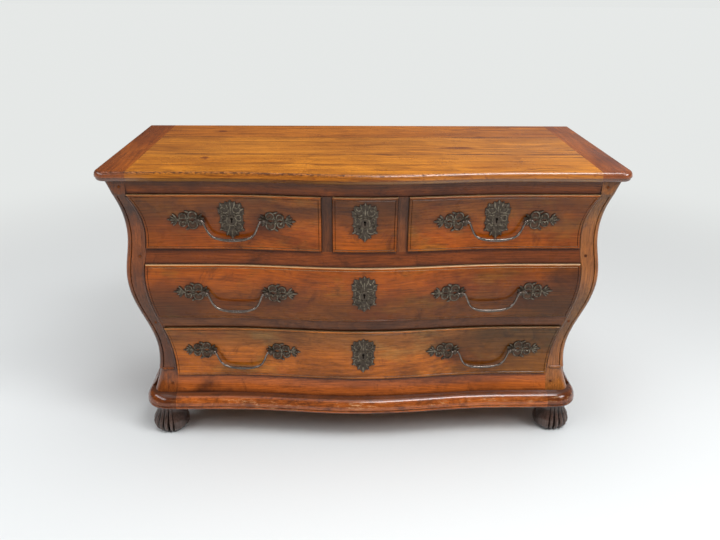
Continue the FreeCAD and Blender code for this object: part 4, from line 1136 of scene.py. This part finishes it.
# %% Grounds
GROUND_EDGE = (  # degrees above the level line, and reach
    (90, 55), (79, 50), (72, 48), (62, 55), (55, 50), (48, 42), (38, 43), (28, 33), (18, 30), (5, 29),
    (-8, 30), (-20, 31), (-32, 33), (-44, 36), (-54, 38), (-64, 36), (-74, 40), (-84, 46), (-90, 46),
)
GROUND_BACK, GROUND_FACE = DRAWER_PROUD + 0.4, DRAWER_PROUD + 1.5
KEYHOLE_RING, KEYHOLE_TALL = 7.0, 1.4
GROUND_STEPS, GROUND_TURNS = 4, 72
HANDLE_GROUNDS = ((16, 12, 10), (17, -13, 11), (41, 9, 8.5), (43, -10, 8), (29, 0, 9), (52, 0, 7))
GROUND_FLATNESS = 0.05


def ground_reach(angle):
    """How far the ground of the escutcheon reaches at an angle above the level line."""
    for (a, reach_a), (b, reach_b) in zip(GROUND_EDGE, GROUND_EDGE[1:]):
        if angle >= b:
            return reach_b + (reach_a - reach_b) * (angle - b) / (a - b)
    return GROUND_EDGE[-1][1]


def escutcheon_ground(x, z):
    """A thin sheet with a keyhole, from the keyhole's edge out to the outline in GROUND_STEPS steps."""
    rim, inner = [], []
    for k in range(GROUND_TURNS):
        angle = 2 * math.pi * k / GROUND_TURNS
        rise = math.degrees(math.asin(math.sin(angle)))
        reach = ground_reach(rise)
        rim.append((reach * math.cos(angle), reach * math.sin(angle)))
        inner.append((KEYHOLE_RING * math.cos(angle), KEYHOLE_TALL * KEYHOLE_RING * math.sin(angle)))
    rows = []
    outward = range(GROUND_STEPS + 1)
    for step, proud in [(t, GROUND_FACE) for t in outward] + [(t, GROUND_BACK) for t in reversed(outward)]:
        row = []
        for (a, b), (c, d) in zip(inner, rim):
            across, up = a + (c - a) * step / GROUND_STEPS, b + (d - b) * step / GROUND_STEPS
            row.append((x + across, front_y(x + across, z + up, proud), z + up))
        rows.append(row)
    return skin(rows + rows[:1], cap=False)


def lay_on_front(strokes, x, z, proud=PLATE_FACE):
    """Strokes of (path, thickness, height share) as tubes half sunk in the plate at x, z."""
    parts = []
    for path, thick, height in strokes:
        points = [(x + a, front_y(x + a, z + b, proud), z + b) for a, b in path]
        parts.append(tube(points, thick, (0, -1, 0), height=height))
    return gather(parts)


print("an escutcheon reaches", ground_reach(90), "mm up and", ground_reach(-90), "mm down")

# %% [markdown]
# ## Relief on every plate
#
# Each plate gets strokes of its own, because a chaser's hand is never twice the same. The two plates of
# a handle are mirrored, so that their sprays point away from the bail.

# %% Relief on every plate
chaser = random.Random(5)
for name, (level, _, _, key_x, pins) in DRAWERS.items():
    body = f"{name}_drawer"
    make_piece(f"{name}_escutcheon_ground", escutcheon_ground(key_x, KEY_Z[level]), [BRONZE], body)
    relief = lay_on_front(escutcheon_strokes(chaser), key_x, KEY_Z[level])
    make_piece(f"{name}_escutcheon_relief", relief, [CHASED], body)
    parts, grounds = [], []
    for pin in pins:
        for hand in (-1, 1):
            place = pin + hand * HANDLE_HALF, PIN_Z[level]
            strokes = strokes_of(HANDLE_CURLS, HANDLE_LEAVES, HANDLE_BEADS, chaser)
            discs = [bead(*row, GROUND_FLATNESS) for row in HANDLE_GROUNDS]
            parts.append(lay_on_front(handed(strokes, hand), *place))
            grounds.append(lay_on_front(handed(discs, hand), *place, GROUND_BACK))
    if parts:
        make_piece(f"{name}_handle_relief", gather(parts), [CHASED], body)
        make_piece(f"{name}_handle_ground", gather(grounds), [DIRT], body)
print("relief laid on", len(DRAWERS), "drawers")

# %% [markdown]
# ## Bails
#
# A bail is one cast rod. Its ends turn in the eyes of two posts, the arms drop in an S and the grip is
# the thickest part, with three small beads at the middle. Hands have kept it smooth, so it is drawn as
# one round tube along a smooth line through the same places as the frame's bail.

# %% Bails
BAIL_KNOTS = (  # distance inside the pin, drop and radius, from one pivot down its arm
    (-8.5, 0.0, 3.3), (0.0, 0.0, 3.3), (5.0, 0.0, 3.3), (8.8, -1.0, 3.2), (11.0, -3.8, 3.1),
    (14.0, -10.0, 2.9), (19.0, -22.5, 2.9), (26.0, -35.0, 3.0), (36.0, -43.5, 3.2), (52.0, -48.7, 3.6),
    (68.0, -50.6, 4.0),
)
BAIL_DROP, BAIL_GRIP, EYE_OUT, PLATE_THICK = 51.0, 4.2, 11.0, 2.0
BEAD_PITCH, BEAD_WIDE, BEAD_OUT, BEAD_SUNK = 6.6, 3.4, 1.0, 0.4
ROD_SIDES, KNOT_STEPS = 20, 5


def between(p, q, r, s, t):
    """The smooth curve from q to r at share t of the way, when it comes from p and goes on to s."""
    return 0.5 * (2 * q + (r - p) * t + (2 * p - 5 * q + 4 * r - s) * t ** 2
                  + (3 * q - p - 3 * r + s) * t ** 3)


def through(knots):
    """A smooth line through rows of numbers, all numbers alike, with KNOT_STEPS points from each knot."""
    line = []
    ends = [knots[0], *knots, knots[-1]]
    for four in zip(ends, ends[1:], ends[2:], ends[3:]):
        line += [tuple(between(*column, k / KNOT_STEPS) for column in zip(*four)) for k in range(KNOT_STEPS)]
    return line + [knots[-1]]


def bail_shape(x, z):
    """The rod and its three beads, from eye to eye, with its pins at x and z."""
    proud = DRAWER_PROUD + PLATE_THICK + EYE_OUT
    eyes = [Vector((x + d, front_y(x + d, z, proud), z)) for d in (-HANDLE_HALF, HANDLE_HALF)]
    along = (eyes[1] - eyes[0]).normalized()
    middle, half = (eyes[0] + eyes[1]) / 2, (eyes[1] - eyes[0]).length / 2
    arm = [(a - half, drop, radius) for a, drop, radius in BAIL_KNOTS]
    knots = arm + [(0.0, -BAIL_DROP, BAIL_GRIP)] + [(-a, drop, radius) for a, drop, radius in reversed(arm)]
    lines = [through(knots)]
    for at in (-BEAD_PITCH, 0.0, BEAD_PITCH):
        swollen = []
        for k in range(BEAD_STEPS + 1):
            radius = BAIL_GRIP - BEAD_SUNK + (BEAD_OUT + BEAD_SUNK) * math.sin(math.pi * k / BEAD_STEPS)
            swollen.append((at + BEAD_WIDE * (k / BEAD_STEPS - 0.5), -BAIL_DROP, radius))
        lines.append(swollen)
    parts = []
    for line in lines:
        path = [tuple(middle + along * a + Vector((0, 0, drop))) for a, drop, _ in line]
        radii = [radius for _, _, radius in line]
        parts.append(tube(path, radii, along.cross(Vector((0, 0, 1))), sides=ROD_SIDES))
    return gather(parts)


for name, (level, _, _, _, pins) in DRAWERS.items():
    for pin in pins:
        side = "" if len(pins) == 1 else ("_left" if pin < 0 else "_right")
        node = f"{name}{side}_bail"
        rod = make_piece(f"{node}_rod", bail_shape(pin, PIN_Z[level]), [HANDLED], node)
        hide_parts(node)
        corners = [[round(v, 4) for v in corner] for corner in (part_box(node)[0], rod.bound_box[0])]
        print(node, "lowest corner in the frame and as made", *corners)

# %% [markdown]
# ## Front feet
#
# A turned bun is carved into lobes like the knuckles of a paw. The creases are deep and close together
# at the toes and die away into the neck, and the side towards the middle of the chest is left round.

# %% Lobed front feet
FOOT_X, FOOT_Y = 566.0, -180.0
FOOT_LINE = (  # height and radius
    (0, 31), (2, 37), (6, 43.5), (12, 48.5), (20, 51.5), (30, 52), (40, 49.5), (51, 43.5), (64, 37.5),
    (80, 34.5), (98, 34),
)
TENON = ((98, 15), (130, 15))
TOE_ARC, TOES, TOE_STEPS, ROUND_STEPS = (-118.0, 20.0), 7, 8, 24
CREASE_SHARPNESS = 0.7
CREASE_TOE, CREASE_NECK = 0.30, 0.04


def foot_radius(z, radius, turn):
    """Radius of the foot at height z, turn degrees from straight ahead."""
    first, last = TOE_ARC
    if not first < turn < last:
        return radius
    toe = (turn - first) / (last - first) * TOES
    depth = CREASE_TOE + (CREASE_NECK - CREASE_TOE) * z / FOOT_LINE[-1][0]
    return radius * (1 - depth * (1 - abs(math.sin(math.pi * toe)) ** CREASE_SHARPNESS))


def foot_shape(side):
    first, last = TOE_ARC
    turns = [first + (last - first) * k / (TOES * TOE_STEPS) for k in range(TOES * TOE_STEPS)]
    turns += [last + (360 + first - last) * k / ROUND_STEPS for k in range(ROUND_STEPS)]
    rows = []
    for z, radius in FOOT_LINE + TENON:
        row = []
        for turn in turns:
            reach = foot_radius(z, radius, turn) if z < FOOT_LINE[-1][0] else radius
            a = math.radians(turn)
            row.append((side * (FOOT_X - reach * math.sin(a)), FOOT_Y - reach * math.cos(a), z))
        rows.append(row)
    return skin(rows)


for side, hand in ((-1, "left"), (1, "right")):
    name = f"front_{hand}_foot"
    wood = waxed_wood(f"{name}_carved", BLACKENED, ALONG_Z, shift(), gloss=0.26, coat=0.9, dull=0.0,
                      reach=0.012)
    foot = make_piece(f"{name}_carved", foot_shape(side), [wood], "case")
    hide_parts(name)
print("two feet with", TOES, "toes each")

# %% [markdown]
# ## Floor and backdrop
#
# The floor is pale and matt. Close to the chest it takes light and shadow like any floor; further out
# it fades into the even tone of the backdrop, so no horizon shows. The camera sees that pale tone, while
# the wood and the metal are lit by a dim warm room with a bright ceiling and a grey veil at the right,
# so that the shadows stay deep and the polish still finds something to mirror.

# %% Floor and world
FLOOR_HALF = 30.0
FLOOR_PAINT, PALE, BLACK = (0.74, 0.76, 0.75), (0.78, 0.80, 0.79), (0, 0, 0)
FADE_FROM, FADE_TO = 1.1, 3.2
WARM_WALL, GREY_VEIL, CEILING = (0.12, 0.09, 0.08), (0.29, 0.29, 0.30), (0.95, 0.97, 1.0)


def floor_paint():
    paint, tree, shader = new_material("pale_floor")
    distance = add(tree, "ShaderNodeVectorMath", operation="LENGTH")
    feed(tree, place_on(tree), distance.inputs[0])
    far = ease(tree, distance.outputs["Value"], FADE_FROM, FADE_TO)
    fill(tree, shader, {
        "Base Color": blend_colours(tree, far, FLOOR_PAINT, BLACK),
        "Emission Color": blend_colours(tree, far, BLACK, PALE), "Emission Strength": 1.0,
        "Roughness": 0.75, "Specular IOR Level": 0.1,
    })
    return paint


mesh = bpy.data.meshes.new("pale_floor")
corners = [(x * FLOOR_HALF, y * FLOOR_HALF, 0) for x, y in ((-1, -1), (1, -1), (1, 1), (-1, 1))]
mesh.from_pydata(corners, [], [(0, 1, 2, 3)])
mesh.materials.append(floor_paint())
floor = put_in_scene("pale_floor", mesh)

world = bpy.data.worlds.new("studio")
bpy.context.scene.world = world
world.use_nodes = True
room = world.node_tree
aim_x, aim_y, aim_z = split(room, add(room, "ShaderNodeTexCoord").outputs["Generated"])
rightward = times(room, ease(room, aim_x, -0.05, 0.40), remap(room, aim_y, 0.0, 0.3))
walls = blend_colours(room, rightward, WARM_WALL, GREY_VEIL)
walls = blend_colours(room, ease(room, aim_z, 0.75, 0.95), walls, CEILING)
seen = add(room, "ShaderNodeLightPath").outputs["Is Camera Ray"]
backdrop = blend_colours(room, seen, walls, PALE)
fill(room, room.nodes["Background"].inputs, {"Color": backdrop, "Strength": 1.0})
print("floor", 2 * FLOOR_HALF, "m wide, and a room round it")

# %% [markdown]
# ## Lamps
#
# Wax shows best in wide soft light. A long cool window at the left is the main light, a smaller one at
# the right lifts the other side, one above draws the pale highlights on the bowed fronts, and a weak
# ceiling light softens all the shadows. Each is an area lamp turned to look at the chest.

# %% Lamps
LAMPS = {  # place, what it looks at, width and height, watts, colour
    "left_window": ((-3.1, -1.5, 2.6), (0, -0.2, 0.5), (4.0, 0.9), 66.0, (0.93, 0.96, 1.0)),
    "right_window": ((3.0, -2.1, 2.4), (0, -0.1, 0.5), (1.4, 1.2), 50.0, (0.97, 0.98, 1.0)),
    "high_window": ((0.9, -1.6, 3.1), (0, -0.4, 0.4), (1.9, 0.7), 60.0, (0.95, 0.97, 1.0)),
    "ceiling": ((0.3, 0.3, 3.6), (0, 0, 0.5), (3.0, 2.4), 34.0, (1, 1, 1)),
}

for name, (place, target, (width, height), power, colour) in LAMPS.items():
    lamp = bpy.data.lights.new(name, "AREA")
    lamp.shape = "RECTANGLE"
    lamp.size = width
    lamp.size_y = height
    lamp.energy = power
    lamp.color = colour
    stand = put_in_scene(name, lamp)
    stand.location = place
    stand.rotation_euler = (Vector(target) - Vector(place)).to_track_quat("-Z", "Y").to_euler()
print(len(LAMPS), "lamps")

# %% [markdown]
# ## Camera
#
# The camera stands at eye height a little left of the middle and looks down on the top. Its place and
# angles are in metres and radians. Its three axes are worked out from the angles and put in one matrix,
# because the slight roll comes last and is awkward as ordinary rotations.

# %% Camera
CAMERA_AT = (-0.0535, -2.0206, 1.2546)
PITCH_DOWN = 0.3891609
YAW_RIGHT = 0.0238694
ROLL = 0.0075684
LENS, SENSOR = 36.2, 36.0
camera_data = bpy.data.cameras.new("camera")
camera_data.sensor_fit = "HORIZONTAL"
camera_data.sensor_width = SENSOR
camera_data.lens = LENS
camera = put_in_scene("camera", camera_data)
reach = math.cos(PITCH_DOWN)
forward = Vector((math.sin(YAW_RIGHT) * reach, math.cos(YAW_RIGHT) * reach, -math.sin(PITCH_DOWN)))
level = Vector((math.cos(YAW_RIGHT), -math.sin(YAW_RIGHT), 0))
upright = level.cross(forward)
across = math.cos(ROLL) * level + math.sin(ROLL) * upright
above = -math.sin(ROLL) * level + math.cos(ROLL) * upright
turn = [[across[i], above[i], -forward[i], CAMERA_AT[i]] for i in range(3)] + [[0, 0, 0, 1]]
camera.matrix_world = Matrix(turn)
bpy.context.scene.camera = camera
bpy.context.scene.view_settings.view_transform = "Standard"
print("camera at", CAMERA_AT, "with a lens of", LENS, "mm")
